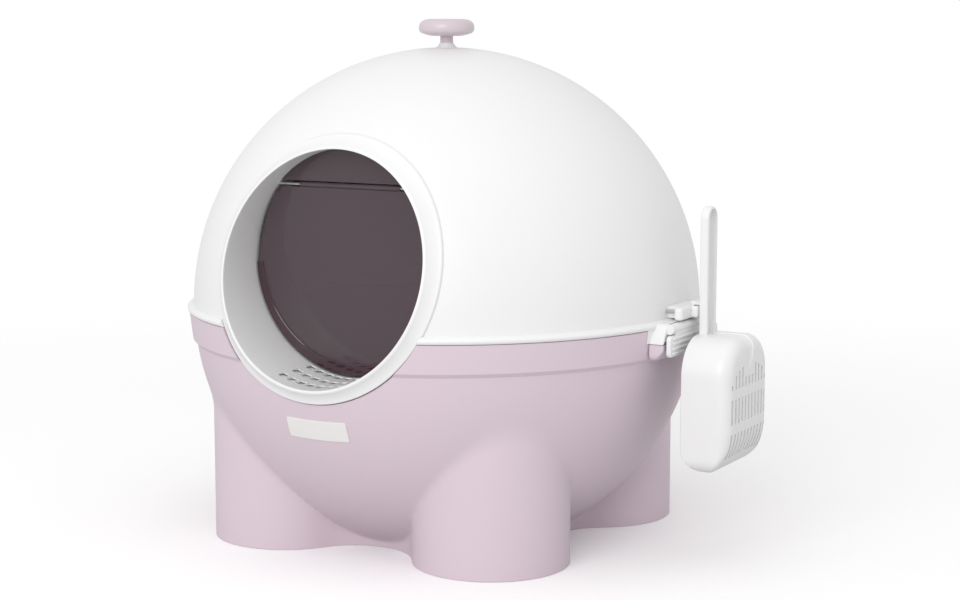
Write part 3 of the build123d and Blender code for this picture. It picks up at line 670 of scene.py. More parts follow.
@dataclass
class Tub:
    """Lower half of the ball on four legs, with the seats for the hood's aprons and the notch for the entry."""

    ball: Ball
    finishes: Finishes
    lobe: float = 70.8
    spacing: float = 216.2
    waist: float = 117.0
    leg_wall: float = 3.0
    fillet: float = 4.0
    band_depth: float = 25.0
    band_taper: float = 2.7
    bevel: float = 4.0
    apron_bottom: float = 198.6
    apron_seat: float = 239.6
    apron_half: float = 57.4
    boss_reach: float = 249.8
    boss_half: float = 55.0
    boss_bottom: float = 184.0
    boss_root: float = 236.5
    boss_fall: float = 9.0  # how far the face falls back at its foot
    rebate: float = 2.8
    leg_edge: float = 0.6  # bevel round the foot of a leg
    leg_top: float = 150.0  # above it only the ball is left
    columns: int = 360

    def leg_outline(self, turn: np.ndarray) -> np.ndarray:
        """Distance of the legs' outline from the axis.

        Args:
            turn: Directions in radians.

        Returns:
            For each direction, where its ray meets the circle about the leg's centre, or between two lobes the
            hollow circle that touches both.
        """
        centre = self.spacing / 2
        step = self.waist - centre
        hollow = (step**2 + centre**2 - self.lobe**2) / (2 * (self.lobe - step))
        reach = math.hypot(step + hollow, centre)
        touch = math.atan2(centre - self.lobe * centre / reach, centre + self.lobe * (step + hollow) / reach)
        local = np.mod(turn + np.pi / 4, np.pi / 2) - np.pi / 4
        diagonal = math.sqrt(2) * centre
        off = np.pi / 4 - np.abs(local)
        lobe = diagonal * np.cos(off) + np.sqrt(np.clip(self.lobe**2 - (diagonal * np.sin(off)) ** 2, 0.0, None))
        out = self.waist + hollow
        between = out * np.cos(local) - np.sqrt(np.clip(hollow**2 - (out * np.sin(local)) ** 2, 0.0, None))
        return np.where(np.abs(local) < touch, between, lobe)

    def shell(self) -> np.ndarray:
        """Grid of the tub's skin: from the middle of its underside round the legs, up the outside and down the inside.

        The outside is the smooth maximum of the ball's reach and the legs' outline at each height, so that the legs
        grow out of the ball through a fillet.
        """
        b = self.ball
        turn = circle(self.columns)
        leg = self.leg_outline(turn)
        hollow = leg - self.leg_wall
        first = math.acos(b.height / b.radius)
        last = np.arcsin(hollow / b.radius)
        share = np.linspace(0.0, 1.0, 22)[:, None]
        polar = first + share * (last - first)
        half_flat = np.full((1, self.columns), 0.5 * b.radius * math.sin(first))
        rows_r = [np.zeros((1, self.columns)), half_flat, b.radius * np.sin(polar)]
        rows_z = [np.zeros((2, self.columns)), b.height - b.radius * np.cos(polar)]
        top = b.height - b.radius * np.cos(last)
        fall = np.linspace(1.0, 0.0, 7)[1:, None]
        edge = self.leg_edge
        rows_r += [np.broadcast_to(hollow, (6, self.columns)), (leg - edge)[None]]
        rows_z += [fall * top, np.zeros((1, self.columns))]
        bevel_bottom = b.seam - self.band_depth - self.bevel
        high = math.acos((b.height - bevel_bottom) / b.radius)
        z = b.height - b.radius * np.cos(np.linspace(first, high, 112))
        z = np.concatenate([[edge], z[z > edge * 1.5]])[:, None]
        outside = smooth_max(b.reach(b.radius, z), leg[None, :], self.fillet)
        outside = np.where(z > self.leg_top, b.reach(b.radius, z), outside)
        rows_r.append(outside)
        rows_z.append(np.broadcast_to(z, outside.shape))
        band_low = b.rim - self.band_taper
        band_bottom = b.seam - self.band_depth
        inner = b.radius - b.wall
        rim = np.array(
            [
                (band_low - 0.9, band_bottom - 0.9),
                (band_low - 0.2, band_bottom - 0.3),
                (band_low, band_bottom + 0.6),
                (b.rim - 1.3, b.seam - 12.0),
                (b.rim - 0.05, b.seam - 1.0),
                (b.rim - 0.3, b.seam - 0.25),
                (b.rim - 1.0, b.seam),
                (b.reach(inner, b.seam) + 0.6, b.seam),
                (b.reach(inner, b.seam), b.seam - 0.6),
            ]
        )
        bowl = b.meridian(inner, b.seam - 3.0, b.wall, 40)
        floor = np.array([(0.6 * bowl[-1, 0], b.wall), (0.0, b.wall)])
        rest = np.concatenate([rim, bowl, floor])
        rows_r.append(np.broadcast_to(rest[:, :1], (len(rest), self.columns)))
        rows_z.append(np.broadcast_to(rest[:, 1:], (len(rest), self.columns)))
        return lathe(np.concatenate(rows_r), np.concatenate(rows_z), self.columns)

    def apron_seat_cutter(self, side: Side) -> Piece:
        """Room for the hood's apron outside its seat."""
        seat, low = self.apron_seat, self.apron_bottom
        return curved_bar("seat", np.array([(seat, low), (FAR, low), (FAR, FAR), (seat, FAR)]), self.apron_half, side)

    def latch_boss(self, side: Side) -> Piece:
        """Boss that the latch closes on: a rounded block whose face falls back to the ball towards its foot."""
        low, half, root = self.boss_bottom, self.boss_half, self.boss_root
        outline = even_rectangle((-half, low), (half, self.apron_bottom), (6.0, 0.4, 0.4, 6.0), 10, 160)
        grid = slab(outline, root, self.boss_reach, 1.6, rings=10)
        fall = 1.0 - smooth_step(grid[..., 1], low - 3.0, low + 11.0)
        grid[..., 2] -= fall * self.boss_fall * (grid[..., 2] > root + 1.5)
        return solid("boss", sideways(grid, side))

    def collar_pad(self) -> Piece:
        """Thicker wall behind the collar's seat, cut off level with the rim."""
        b = self.ball
        outer, inner = b.radius - self.rebate + 0.4, b.radius - self.rebate - b.pad_wall
        edge = b.collar + b.collar_gap + b.pad_wall
        grid = b.round_tunnel([90.0, edge, edge, 90.0], [outer, outer, inner, inner], [0.0] * 4, 180)
        pad = solid("pad", grid, closed=True)
        box = np.array([(-FAR, -FAR), (FAR, -FAR), (FAR, FAR), (-FAR, FAR)])
        ends = [at_depth(box, z) for z in (b.seam - 0.02, FAR + b.tunnel)]
        return combine(pad, Join.CUT, prisms("above", np.stack(ends)[None]))

    def collar_seat_cutter(self) -> Piece:
        """Room for the collar, down to the rebate."""
        b = self.ball
        edge, deep = b.collar + b.collar_gap, b.radius - self.rebate
        radii = [0.0, 60.0, 90.0, edge, edge, 0.0]
        return solid("seat", b.round_tunnel(radii, [deep] * 4 + [np.nan] * 2, [-FAR] * 6, 240))

    def build(self) -> None:
        """Makes the tub and puts it in place of its node."""
        b = self.ball
        tub = solid("tub_shell", self.shell())
        combine(tub, Join.CUT, *[self.apron_seat_cutter(side) for side in Side])
        combine(tub, Join.ADD, *[self.latch_boss(side) for side in Side], self.collar_pad())
        combine(tub, Join.CUT, self.collar_seat_cutter(), b.tunnel_rod("notch", b.tube + 1.0, -FAR, -150.0))
        dress(tub, self.finishes.tub, "tub", "tub", "base_tub")


@dataclass
class Label:
    """Blank plate on the front of the tub."""

    ball: Ball
    finishes: Finishes
    width: float = 61.0
    height: float = 19.5
    thickness: float = 0.8
    drop: float = 21.2  # degrees below the middle of the ball

    def build(self) -> None:
        """A slab bent onto the ball: the depth becomes the radius, and a point across and up becomes a direction."""
        half, tall = self.width / 2, self.height / 2
        outline = even_rectangle((-half, -tall), (half, tall), (1.5,), 8, 96)
        grid = slab(outline, 0.05, self.thickness, 0.3, 0.05, rings=8)
        radius = self.ball.radius
        drop = math.radians(self.drop)
        forward = np.sqrt(radius**2 - grid[..., 0] ** 2 - grid[..., 1] ** 2)
        scale = (radius + grid[..., 2]) / radius
        y = (-forward * math.cos(drop) - grid[..., 1] * math.sin(drop)) * scale
        z = self.ball.height + (-forward * math.sin(drop) + grid[..., 1] * math.cos(drop)) * scale
        dress(solid("blank_label", xyz(grid[..., 0] * scale, y, z)), self.finishes.label, "tub", "label", "label_plate")


# ---- hood ----------------------------------------------------------------------------------


@dataclass(frozen=True)
class Pivot:
    """Axis of a latch lever on the right side, and the lever's barrel; the left side mirrors it."""

    x: float = 251.8
    height: float = 211.5
    barrel: float = 4.5
    half: float = 40.0

    def place(self, side: Side) -> Pair:
        """The axis on that side, as (x, z)."""
        return side.value * self.x, self.height


@dataclass
class Hood:
    """White dome with a rounded lip, a skirt inside the tub, a boss for the knob, two aprons and their latch blocks."""

    ball: Ball
    finishes: Finishes
    lip: float = 244.9
    skirt_gap: float = 0.9
    skirt_wall: float = 2.5
    skirt_depth: float = 10.5
    boss: float = 8.5
    boss_top: float = 6.6
    boss_height: float = 4.5
    apron_half: float = 57.0
    apron_wall: float = 3.2
    apron_bottom: float = 199.0
    block_reach: float = 249.8
    block_top_half: float = 47.0
    block_bottom_half: float = 55.0
    block_top: float = 216.2
    block_root: float = 236.0
    pivot: Pivot = Pivot()
    gap: float = 0.6
    collar_gap: float = 0.4
    skirt_end: float = 2.0  # from the tub's pad to the end of the skirt
    dome_back: float = -125.0  # y of the ends of the cuts for the tunnel
    columns: int = 360

    def profile(self) -> np.ndarray:
        """Half section from the top of the boss down the outside, round the lip and the skirt and up the inside."""
        b = self.ball
        seam, top = b.seam + b.seam_gap, b.height + b.radius
        lip_top = seam + b.lip_height
        skirt = b.radius - b.wall - self.skirt_gap
        boss = np.array([(0, top + self.boss_height), (self.boss_top - 0.6, top + self.boss_height)])
        foot = smooth_path(
            [
                (self.boss_top, top + self.boss_height - 0.6),
                (self.boss - 0.5, top + 1.6),
                (self.boss + 1.6, b.height + math.sqrt(b.radius**2 - (self.boss + 1.6) ** 2)),
            ],
            5,
        )
        dome = b.meridian(b.radius, b.height + math.sqrt(b.radius**2 - 14.0**2), lip_top + 0.6, 96)
        crease = b.reach(b.radius, lip_top)
        lip = smooth_path(
            [
                (crease + 0.15, lip_top - 0.1),
                (crease + 1.6, lip_top + 0.15),
                (crease + 3.6, lip_top - 0.9),
                (self.lip - 0.35, seam + 3.9),
                (self.lip, seam + 2.4),
                (self.lip - 0.7, seam + 0.8),
                (b.rim - 0.5, seam),
            ],
            4,
        )
        under = np.array(
            [
                (skirt, seam),
                (skirt, seam - self.skirt_depth + 0.6),
                (skirt - 0.6, seam - self.skirt_depth),
                (skirt - self.skirt_wall + 0.6, seam - self.skirt_depth),
                (skirt - self.skirt_wall, seam - self.skirt_depth + 0.6),
                (skirt - self.skirt_wall, lip_top - 2.0),
            ]
        )
        inside = b.meridian(b.radius - b.wall, lip_top + 3.0, top - b.wall, 64)
        inside[-1, 0] = 0.0
        return np.concatenate([boss, foot, dome, lip, under, inside])

    def apron(self, side: Side) -> Piece:
        """Curved plate that reaches down over the tub's band."""
        b = self.ball
        inner, outer, low, high = b.rim - self.apron_wall, b.rim, self.apron_bottom, b.seam + b.seam_gap + 1.0
        section = np.array([(inner, low), (outer - 0.5, low), (outer, low + 0.5), (outer, high), (inner, high)])
        return curved_bar("apron", section, self.apron_half, side)

    def latch_block(self, side: Side) -> Piece:
        """Block with slanted ends, two knuckles for the pin and room for the lever's barrel between them."""
        low, high, half = self.apron_bottom, self.block_top, self.block_top_half
        slant = (self.block_bottom_half - half) / (high - low)
        outline = rounded_rectangle((-half, low), (half, high), (0.5, 5.0, 5.0, 0.5), 10)
        outline[:, 0] += np.sign(outline[:, 0]) * slant * (high - outline[:, 1])
        grid = slab(evenly(outline, 160, closed=True), self.block_root, self.block_reach, 1.8, rings=6)
        block = solid("block", sideways(grid, side))
        axis = self.pivot
        place = axis.place(side)
        room_half = axis.half + self.gap
        room = rod_along_y("room", place, axis.barrel + self.gap, room_half)
        square = np.array([(0, -1), (1, -1), (1, 1), (0, 1)]) * (3 * axis.barrel * side.value, 3 * axis.barrel)
        combine(block, Join.ADD, rod_along_y("knuckle", place, axis.barrel, half, 0.8))
        combine(block, Join.CUT, room, along_y("open", square + place, room_half))
        inner = self.ball.rim - self.apron_wall
        core = np.array([(0.0, 150.0), (inner, 150.0), (inner, FAR), (0.0, FAR)])
        return combine(block, Join.CUT, solid("inner", lathe(core[:, :1], core[:, 1:], self.columns)))

    def build(self) -> None:
        """Makes the hood and puts it in place of its node."""
        b = self.ball
        profile, back = self.profile(), self.dome_back
        hood = solid("hood_shell_moulded", lathe(profile[:, :1], profile[:, 1:], self.columns))
        edge = b.collar + self.collar_gap
        seat = b.round_tunnel([90.0, edge, edge, 90.0], [b.radius - 0.1] * 2 + [np.nan] * 2, [-FAR] * 4, 240)
        end = b.collar + b.collar_gap + b.pad_wall + self.skirt_end
        shell = b.radius - b.wall - 0.1
        skirt = b.round_tunnel([0.0, end, end, 0.0], [np.nan] * 2 + [shell] * 2, [back] * 4, 180)
        hole = b.tunnel_rod("hole", b.tube + 0.6, -FAR, back)
        combine(hood, Join.CUT, hole, solid("room", seat, closed=True), solid("skirt", skirt))
        for side in Side:
            combine(hood, Join.ADD, self.apron(side), self.latch_block(side))
        dress(hood, self.finishes.hood, "hood", "hood", "hood_shell")


# ---- entry ---------------------------------------------------------------------------------


@dataclass
class Entry:
    """Front tube with its flared collar and perforated floor."""

    ball: Ball
    finishes: Finishes
    proud: float = 5.8  # rim outside the ball
    edge: float = 2.0  # thickness of the collar's outer edge
    back: float = -163.0
    wall: float = 1.1
    hole_width: float = 7.0
    hole_length: float = 10.5
    hole_corner: float = 2.2
    hole_columns: int = 9
    column_angle: float = 5.4
    first_row: float = -218.0
    row_pitch: float = 21.3
    rows: int = 3

    def flare(self) -> np.ndarray:
        """Section of the rim and the collar as (distance from the tunnel axis, radius of the sphere it lies on).

        A quarter round leads out of the bore, a second one starts the collar, which then falls in a hollow curve,
        (1 - t)^2.2, to a thin rounded edge.
        """
        b = self.ball
        rim = b.radius + self.proud
        inner = arc((b.bore + 1.7, rim - 1.7), 1.7, 180, 90, 6)
        outer = arc((b.bore + 2.2, rim - 1.7), 1.7, 90, 30, 5)
        start, end = outer[-1], np.array([b.collar - 0.8, b.radius + self.edge])
        t = np.linspace(0.0, 1.0, 14)[1:]
        fall = np.c_[start[0] + (end[0] - start[0]) * t, end[1] + (start[1] - end[1]) * (1 - t) ** 2.2]
        edge = arc((b.collar - 0.8, b.radius + self.edge - 0.8), 0.8, 80, 0, 5)
        low = b.radius + 0.05
        foot = [(b.collar, low + 0.05), (b.collar - 0.4, low), (b.tube, low), (b.bore + self.wall, b.radius - 3.0)]
        return np.concatenate([inner, outer, fall, edge, foot])

    def tube(self) -> np.ndarray:
        """Closed section of the tube turned about the tunnel axis: bore, flare, and back along the outside."""
        b = self.ball
        flare = self.flare()
        section = b.round_tunnel(flare[:, 0], flare[:, 1], np.zeros(len(flare)), 240)
        end_inner, end_outer = b.round_tunnel([b.bore, b.bore + self.wall], [np.nan] * 2, [self.back] * 2, 240)
        share = np.linspace(0.0, 1.0, 12)[:, None, None]
        bore = end_inner + (section[0] - end_inner) * share
        outside = section[-1] + (end_outer - section[-1]) * share
        return np.concatenate([bore, section[1:], outside[1:]])

    def floor_cutters(self) -> Piece:
        """Rounded rectangles square to the floor, one for each column and row."""
        wide, long = self.hole_width / 2, self.hole_length / 2
        outline = rounded_rectangle((-wide, -long), (wide, long), (self.hole_corner,), 6)
        rows = self.first_row + self.row_pitch * np.arange(self.rows)
        turn = np.radians(self.column_angle * (np.arange(self.hole_columns) - (self.hole_columns - 1) / 2))
        down, across = xyz(np.sin(turn), 0.0, -np.cos(turn)), xyz(np.cos(turn), 0.0, np.sin(turn))
        along = np.array([0.0, 1.0, 0.0]) * (outline[None, None, :, 1:] + rows[None, :, None, None])
        flat = across[:, None, None, :] * outline[None, None, :, :1] + along
        axis = np.array([0.0, 0.0, self.ball.tunnel])
        depths = (self.ball.bore - 3.0, self.ball.bore + 8.0)
        ends = [axis + flat + down[:, None, None, :] * depth for depth in depths]
        return prisms("holes", np.stack(ends, axis=2).reshape(-1, 2, len(outline), 3))

    def build(self) -> None:
        """Makes the front tube in place of its node."""
        tube = solid("entry_tube", self.tube(), closed=True)
        combine(tube, Join.CUT, self.floor_cutters())
        dress(tube, self.finishes.trim, "hood", "trim", "entry_tunnel")


@dataclass
class SleeveScrews:
    """Six screws that hold the sleeve, square to the ball, with their heads inside the hood."""

    ball: Ball
    finishes: Finishes
    seat: float = 233.45
    ring: float = 110.65
    angles: tuple[float, ...] = (72.0, 104.0, 136.0)
    head: float = 2.9
    head_height: float = 2.0
    shank: float = 1.5
    length: float = 4.5

    def build(self) -> None:
        """Turns one profile (radius, distance from the ball's centre) about each screw's axis."""
        b = self.ball
        seat, head, shank = self.seat, self.head, self.shank
        low, tip = seat - self.head_height, seat + self.length
        profile = [(0, low), (head - 0.6, low), (head, low + 0.6), (head, seat), (shank, seat), (shank, tip), (0, tip)]
        profile = np.array(profile, float)
        turn = circle(24)
        screws = []
        for side in Side:
            for angle in np.radians(self.angles):
                x = side.value * self.ring * math.sin(angle)
                rise = b.tunnel_rise - self.ring * math.cos(angle)
                out = np.array([x, -math.sqrt(seat**2 - x**2 - rise**2), rise]) / seat
                across = np.cross(out, [0.0, 0.0, 1.0])
                across /= np.linalg.norm(across)
                up = np.cross(across, out)
                ring = np.cos(turn)[:, None] * across + np.sin(turn)[:, None] * up
                grid = profile[:, None, :1] * ring[None] + profile[:, None, 1:] * out
                screws.append(solid("sleeve_screws_turned", grid + np.array([0.0, 0.0, b.height])))
        first = combine(screws[0], Join.ADD, *screws[1:])
        dress(first, self.finishes.steel, "hood", "steel", "sleeve_screws")


# ---- scoop ---------------------------------------------------------------------------------


@dataclass
class Scoop:
    """Slotted scoop that hangs by a hook, with a channel in its handle that runs on over its top."""

    finishes: Finishes
    mouth: float = 264.0
    depth: float = 44.5
    width: float = 94.0
    top: float = 204.0
    length: float = 117.6
    wall: float = 2.4
    shoulder: float = 33.0
    lower_corner: float = 12.0
    edge: float = 12.0
    lip_edge: float = 2.6
    lip: float = 5.0
    mouth_rise: float = 21.6
    face_drop: float = 80.0
    face_reach: float = 26.0
    handle_width: float = 22.0
    handle_thickness: float = 8.0
    handle_top: float = 317.0
    channel: float = 5.2
    handle_rim: float = 2.0
    slot_width: float = 2.8
    slot_length: float = 22.0
    slot_pitch: float = 7.4
    slot_columns: int = 11
    slot_rows: int = 3
    row_pitch: float = 30.6
    slot_drop: float = 21.0
    slot_arch: float = 19.5
    slot_arch_half: float = 37.9
    slot_bridge: float = 7.5
    slot_corner: float = 0.9
    groove_depth: float = 1.9
    groove_drop: float = 27.0
    hook_rise: float = 3.5  # above the holder
    hook_reach: float = 5.8  # behind the holder's nose
    hook_length: float = 11.0
    hook_wall: float = 3.0
    hook_half: float = 4.0
    points: int = 192

    @property
    def bottom(self) -> float:
        """Height of the lip."""
        return self.top - self.length

    def face(self, height: np.ndarray) -> np.ndarray:
        """X of the slotted face at a height: flat above, and below a round stretch that ends at the lip."""
        start = self.top - self.face_drop
        back, drop = self.depth - self.face_reach, start - self.bottom
        radius = (back**2 + drop**2) / (2 * back)
        below = np.clip(start - height, 0.0, drop * 1.05)
        return self.mouth + self.depth - radius + np.sqrt(radius**2 - below**2)

    def mouth_edge(self, height: np.ndarray) -> np.ndarray:
        """X of the open edge at a height: straight above, and a quarter ellipse that runs to the lip."""
        reach = self.face_reach - self.lip
        below = np.clip(self.bottom + self.mouth_rise - height, 0.0, self.mouth_rise) / self.mouth_rise
        return self.mouth + reach * (1.0 - np.sqrt(1.0 - below**2))

    def skin(self, outline: np.ndarray, sunk: float) -> np.ndarray:
        """Rows of one skin from its middle to the open edge.

        Args:
            outline: Front view of the skin, n x 2 of (y, z).
            sunk: How far the skin lies inside the outer face.

        Returns:
            Grid of (x, y, z). A ring drawn in by d from the outline stands e - sqrt(e^2 - (e - d)^2) behind the face,
            where the edge radius e falls from the sides to the lip.
        """
        soft = smooth_step(outline[:, 1], self.bottom, self.bottom + 30.0)
        edge = self.lip_edge + (self.edge - self.lip_edge) * soft
        edge = np.maximum(edge - sunk, 0.3)
        turn = np.linspace(0.0, np.pi / 2, 8)
        rings = [inset(outline, edge * (1 - math.cos(a))) for a in turn[::-1]]
        back = [edge * (1 - math.sin(a)) for a in turn[::-1]]
        middle = np.array([0.0, (self.top + self.bottom) / 2])
        inner = [middle + (rings[0] - middle) * share for share in np.linspace(0.0, 1.0, 15)[:-1]]
        flat = np.concatenate([np.stack(inner), np.stack(rings)])
        drawn = np.concatenate([np.zeros((14, len(outline))), np.stack(back)])
        x = self.face(flat[..., 1]) - drawn - sunk
        rows = np.concatenate([x[..., None], flat], axis=-1)
        end = np.minimum(self.mouth_edge(outline[:, 1]), rows[-1, :, 0] - 0.2)
        share = np.linspace(0.0, 1.0, 7)[1:, None]
        wall = xyz(rows[-1, :, 0] + (end - rows[-1, :, 0]) * share, outline[:, 0], outline[:, 1])
        return np.concatenate([rows, wall])

    def bowl(self) -> Piece:
        """Bowl from an outer and an inner skin that meet in a rounded edge round the mouth."""
        half = self.width / 2
        corners = (self.lower_corner, self.shoulder, self.shoulder, self.lower_corner)
        outline = even_rectangle((-half, self.bottom), (half, self.top), corners, 14, self.points)
        thin = self.wall * smooth_step(outline[:, 1], self.bottom - 0.1, self.bottom + 3.0)
        inner = inset(outline, np.maximum(thin, 0.0))
        side = np.abs(outline[:, 0]) / half
        inner[:, 0] = np.where(side > 0.8, np.clip(inner[:, 0], -half + self.wall, half - self.wall), inner[:, 0])
        outer_skin, inner_skin = self.skin(outline, 0.0), self.skin(inner, self.wall)
        edge = (outer_skin[-1] + inner_skin[-1]) / 2
        edge[:, 0] -= 0.35 * self.wall
        return solid("scoop_moulded", np.concatenate([outer_skin, edge[None], inner_skin[::-1]]))

    def slots(self) -> Piece:
        """Cutters of the slots.

        The upper ends of the first row follow an ellipse, and its middle stops below the groove's point.
        """
        half, prongs = self.slot_width / 2, []
        depths = (self.mouth + 9.0, self.mouth + self.depth + 6.0)
        for column in range(self.slot_columns):
            across = self.slot_pitch * (column - (self.slot_columns - 1) / 2)
            for row in range(self.slot_rows):
                high = self.top - self.slot_drop - row * self.row_pitch
                low = high - self.slot_length
                if row == 0:
                    arch = self.slot_arch * math.sqrt(1.0 - (across / self.slot_arch_half) ** 2)
                    middle = abs(across) < 0.1 * self.width
                    high = self.top - self.groove_drop - self.slot_bridge if middle else low + arch
                outline = rounded_rectangle((across - half, low), (across + half, high), (self.slot_corner,), 4)
                prongs.append([xyz(x, outline[:, 0], outline[:, 1]) for x in depths])
        return prisms("slots", np.array(prongs))

    def groove(self) -> Piece:
        """Cutter of the groove from the handle over the top to a point on the face.

        It is swept along the outer side view. Its half width narrows as a teardrop, and its depth across is
        d(1 - v^2), so that its rims run out softly.
        """
        face, top = self.mouth + self.depth, self.top
        corner = arc((face - self.edge, top - self.edge), self.edge, 90, 0, 9)
        start, tip = (self.mouth + self.handle_thickness - 3.0, top), (face, top - self.groove_drop)
        path = evenly(np.concatenate([[start], corner, [tip]]), 64)
        along = np.gradient(path, axis=0)
        along /= np.linalg.norm(along, axis=1, keepdims=True)
        out = np.stack([-along[:, 1], along[:, 0]], axis=1)
        out *= np.where(out.sum(axis=1, keepdims=True) < 0, -1.0, 1.0)
        below = np.clip((top - self.edge * 0.4 - path[:, 1]) / (self.groove_drop - self.edge * 0.4), 0.0, 1.0)
        half = (self.handle_width / 2 - 0.8) * np.sqrt(np.clip(1.0 - below**1.6, 0.0, 1.0)) + 0.05
        depth = self.groove_depth * (0.35 + 0.65 * np.sqrt(half / half[0]))
        v = np.linspace(-1.0, 1.0, 17)
        across = np.concatenate([v, v[::-1]])
        level = np.concatenate([-(1 - v**2) ** 0.8, np.full(17, 1.2)])
        offset = np.where(level < 0, depth[:, None] * level, 3.0) + 0.02
        grid = xyz(path[:, :1] + out[:, :1] * offset, half[:, None] * across, path[:, 1:] + out[:, 1:] * offset)
        return solid("groove", grid, caps=True)

    def bar(self, name: str, half: float, ends: Pair, depths: Pair, edges: Pair, count: int) -> Piece:
        """Upright plate with a round upper end.

        Args:
            name: Name of the object.
            half: Half its width.
            ends: Heights of its two ends.
            depths: X of its back and its face.
            edges: Radii of its front and back edge.
            count: Points in its outline.

        Returns:
            The object.
        """
        outline = even_rectangle((-half, ends[0]), (half, ends[1]), (0.4, half - 0.01, half - 0.01, 0.4), 20, count)
        return solid(name, sideways(slab(outline, *depths, *edges, rings=2), Side.RIGHT))

    def handle(self) -> Piece:
        """Round-ended bar with soft edges and a channel along its outer face."""
        half, rim, end = self.handle_width / 2, self.handle_rim, self.handle_top
        face = self.mouth + self.handle_thickness
        bar = self.bar("handle", half, (self.top - self.wall - 1.0, end), (self.mouth, face), (2.0, 2.0), 220)
        depths = (face - self.channel, face + 3.0)
        channel = self.bar("channel", half - rim, (self.top - 1.0, end - rim), depths, (0.1, 1.4), 200)
        return combine(bar, Join.CUT, channel)

    def hook(self) -> Piece:
        """Hook on the back of the handle that drops into the holder's pocket."""
        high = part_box("scoop_holder")[1]
        top, reach, root = high.z / MM + self.hook_rise, high.x / MM - self.hook_reach, self.mouth + 1
        wall, tip = self.hook_wall, top - self.hook_length
        inner = reach - wall
        shape = [(root, top), (inner, top), (inner, tip), (reach, tip), (reach, top - wall), (root, top - wall)]
        return along_y("hook", np.array(shape), self.hook_half)

    def build(self) -> None:
        """Makes the scoop and puts it in place of its node."""
        scoop = self.bowl()
        combine(scoop, Join.CUT, self.slots(), self.groove())
        combine(scoop, Join.ADD, self.handle(), self.hook())
        dress(scoop, self.finishes.scoop, "scoop", "scoop", "scoop", crease=40.0)


@dataclass
class ScoopHolder:
    """Rounded block on the dome with a nose, and a pocket for the scoop's hook."""

    ball: Ball
    finishes: Finishes
    bottom: float = 217.5
    height: float = 11.0
    half: float = 31.0
    reach: float = 256.5
    plate: float = 8.0
    neck_half: float = 20.0
    nose_half: float = 9.0
    nose: float = 262.4
    root: float = 12.0
    corner: float = 3.2
    edge: float = 2.4
    pocket: Pair = (252.6, 257.6)
    pocket_half: float = 5.0
    pocket_floor: float = 1.0

    def block(self, name: str, reach: Pair, half: float, z: Pair, corner: float, edge: float) -> Piece:
        """Upright block with round corners and edges.

        Args:
            name: Name of the object.
            reach: X of its two faces.
            half: Half its width.
            z: Heights of its bottom and top.
            corner: Radius of its upright edges.
            edge: Radius of its other edges.

        Returns:
            The object.
        """
        outline = even_rectangle((reach[0], -half), (reach[1], half), (corner,), 10, 160)
        return solid(name, slab(outline, *z, edge, edge, rings=4))

    def build(self) -> None:
        """Makes the holder and puts it in place of its node."""
        low, top, base = self.bottom, self.bottom + self.height, self.ball.radius - self.root
        sunk = (low + 0.3, top - 0.3)
        faces = (self.reach - self.plate, self.reach)
        holder = self.block("scoop_holder_moulded", faces, self.half, (low, top), self.corner, self.edge)
        neck = self.block("neck", (base, self.reach - 1.0), self.neck_half, sunk, 2.0, 1.0)
        nose = self.block("nose", (base + 2.0, self.nose), self.nose_half, sunk, 3.0, self.edge)
        combine(holder, Join.ADD, neck, nose)
        room = self.block("pocket", self.pocket, self.pocket_half, (low + self.pocket_floor, top + 5.0), 0.8, 0.1)
        profile = arc((0.0, self.ball.height), self.ball.radius + 0.04, 90, -90, 181)
        profile[[0, -1], 0] = 0.0
        combine(holder, Join.CUT, room, solid("ball", lathe(profile[:, :1], profile[:, 1:], 720)))
        dress(holder, self.finishes.trim, "hood", "trim", "scoop_holder")


@dataclass
class Lever:
    """Latch plate with a hinge barrel and four ribs across its face."""

    finishes: Finishes
    pivot: Pivot = Pivot()
    pin: float = 1.58
    half: float = 52.5
    length: float = 24.0
    shoulder: float = 5.1
    thickness: float = 4.0
    corner: float = 4.0
    edge: float = 1.3
    rib: float = 1.2
    rib_height: float = 2.3
    rib_pitch: float = 4.4
    first_rib: float = 3.0
    rib_end: float = 5.0
    ribs: int = 4

    def plate(self, side: Side, name: str, half: float, z: Pair, depth: Pair, corner: float, edge: float) -> Piece:
        """Upright rounded plate whose face looks away from the ball.

        Args:
            side: Side that it is on.
            name: Name of the object.
            half: Half its width.
            z: Heights of its bottom and top.
            depth: X of its back and its face, on the right side.
            corner: Radius of its corners.
            edge: Radius of its front edge.

        Returns:
            The object.
        """
        outline = even_rectangle((-half, z[0]), (half, z[1]), (corner,), 8, 140)
        return solid(name, sideways(slab(outline, *depth, edge), side))

    def build(self, side: Side) -> None:
        """Makes one lever and puts it in place of its node."""
        axis, place = self.pivot, self.pivot.place(side)
        low, high, face = axis.height - self.length, axis.height - self.shoulder, axis.x + self.thickness
        word = side.name.lower()
        lever = self.plate(side, f"latch_plate_{word}", self.half, (low, high), (axis.x, face), self.corner, self.edge)
        neck = self.plate(side, "neck", axis.half, (high - 3.0, axis.height + 0.5), (axis.x + 0.3, face), 0.5, 0.4)
        combine(lever, Join.ADD, neck, rod_along_y("barrel", place, axis.barrel, axis.half, 0.6))
        rise, depth = self.rib_height / 2, (face - 1.0, face + self.rib)
        for k in range(self.ribs):
            middle = low + self.first_rib + k * self.rib_pitch
            span = (middle - rise, middle + rise)
            combine(lever, Join.ADD, self.plate(side, "rib", self.half - self.rib_end, span, depth, rise - 0.02, 0.8))
        combine(lever, Join.CUT, rod_along_y("pin", place, self.pin, self.half))
        dress(lever, self.finishes.trim, f"latch_{word}", "trim", f"latch_lever_{word}")


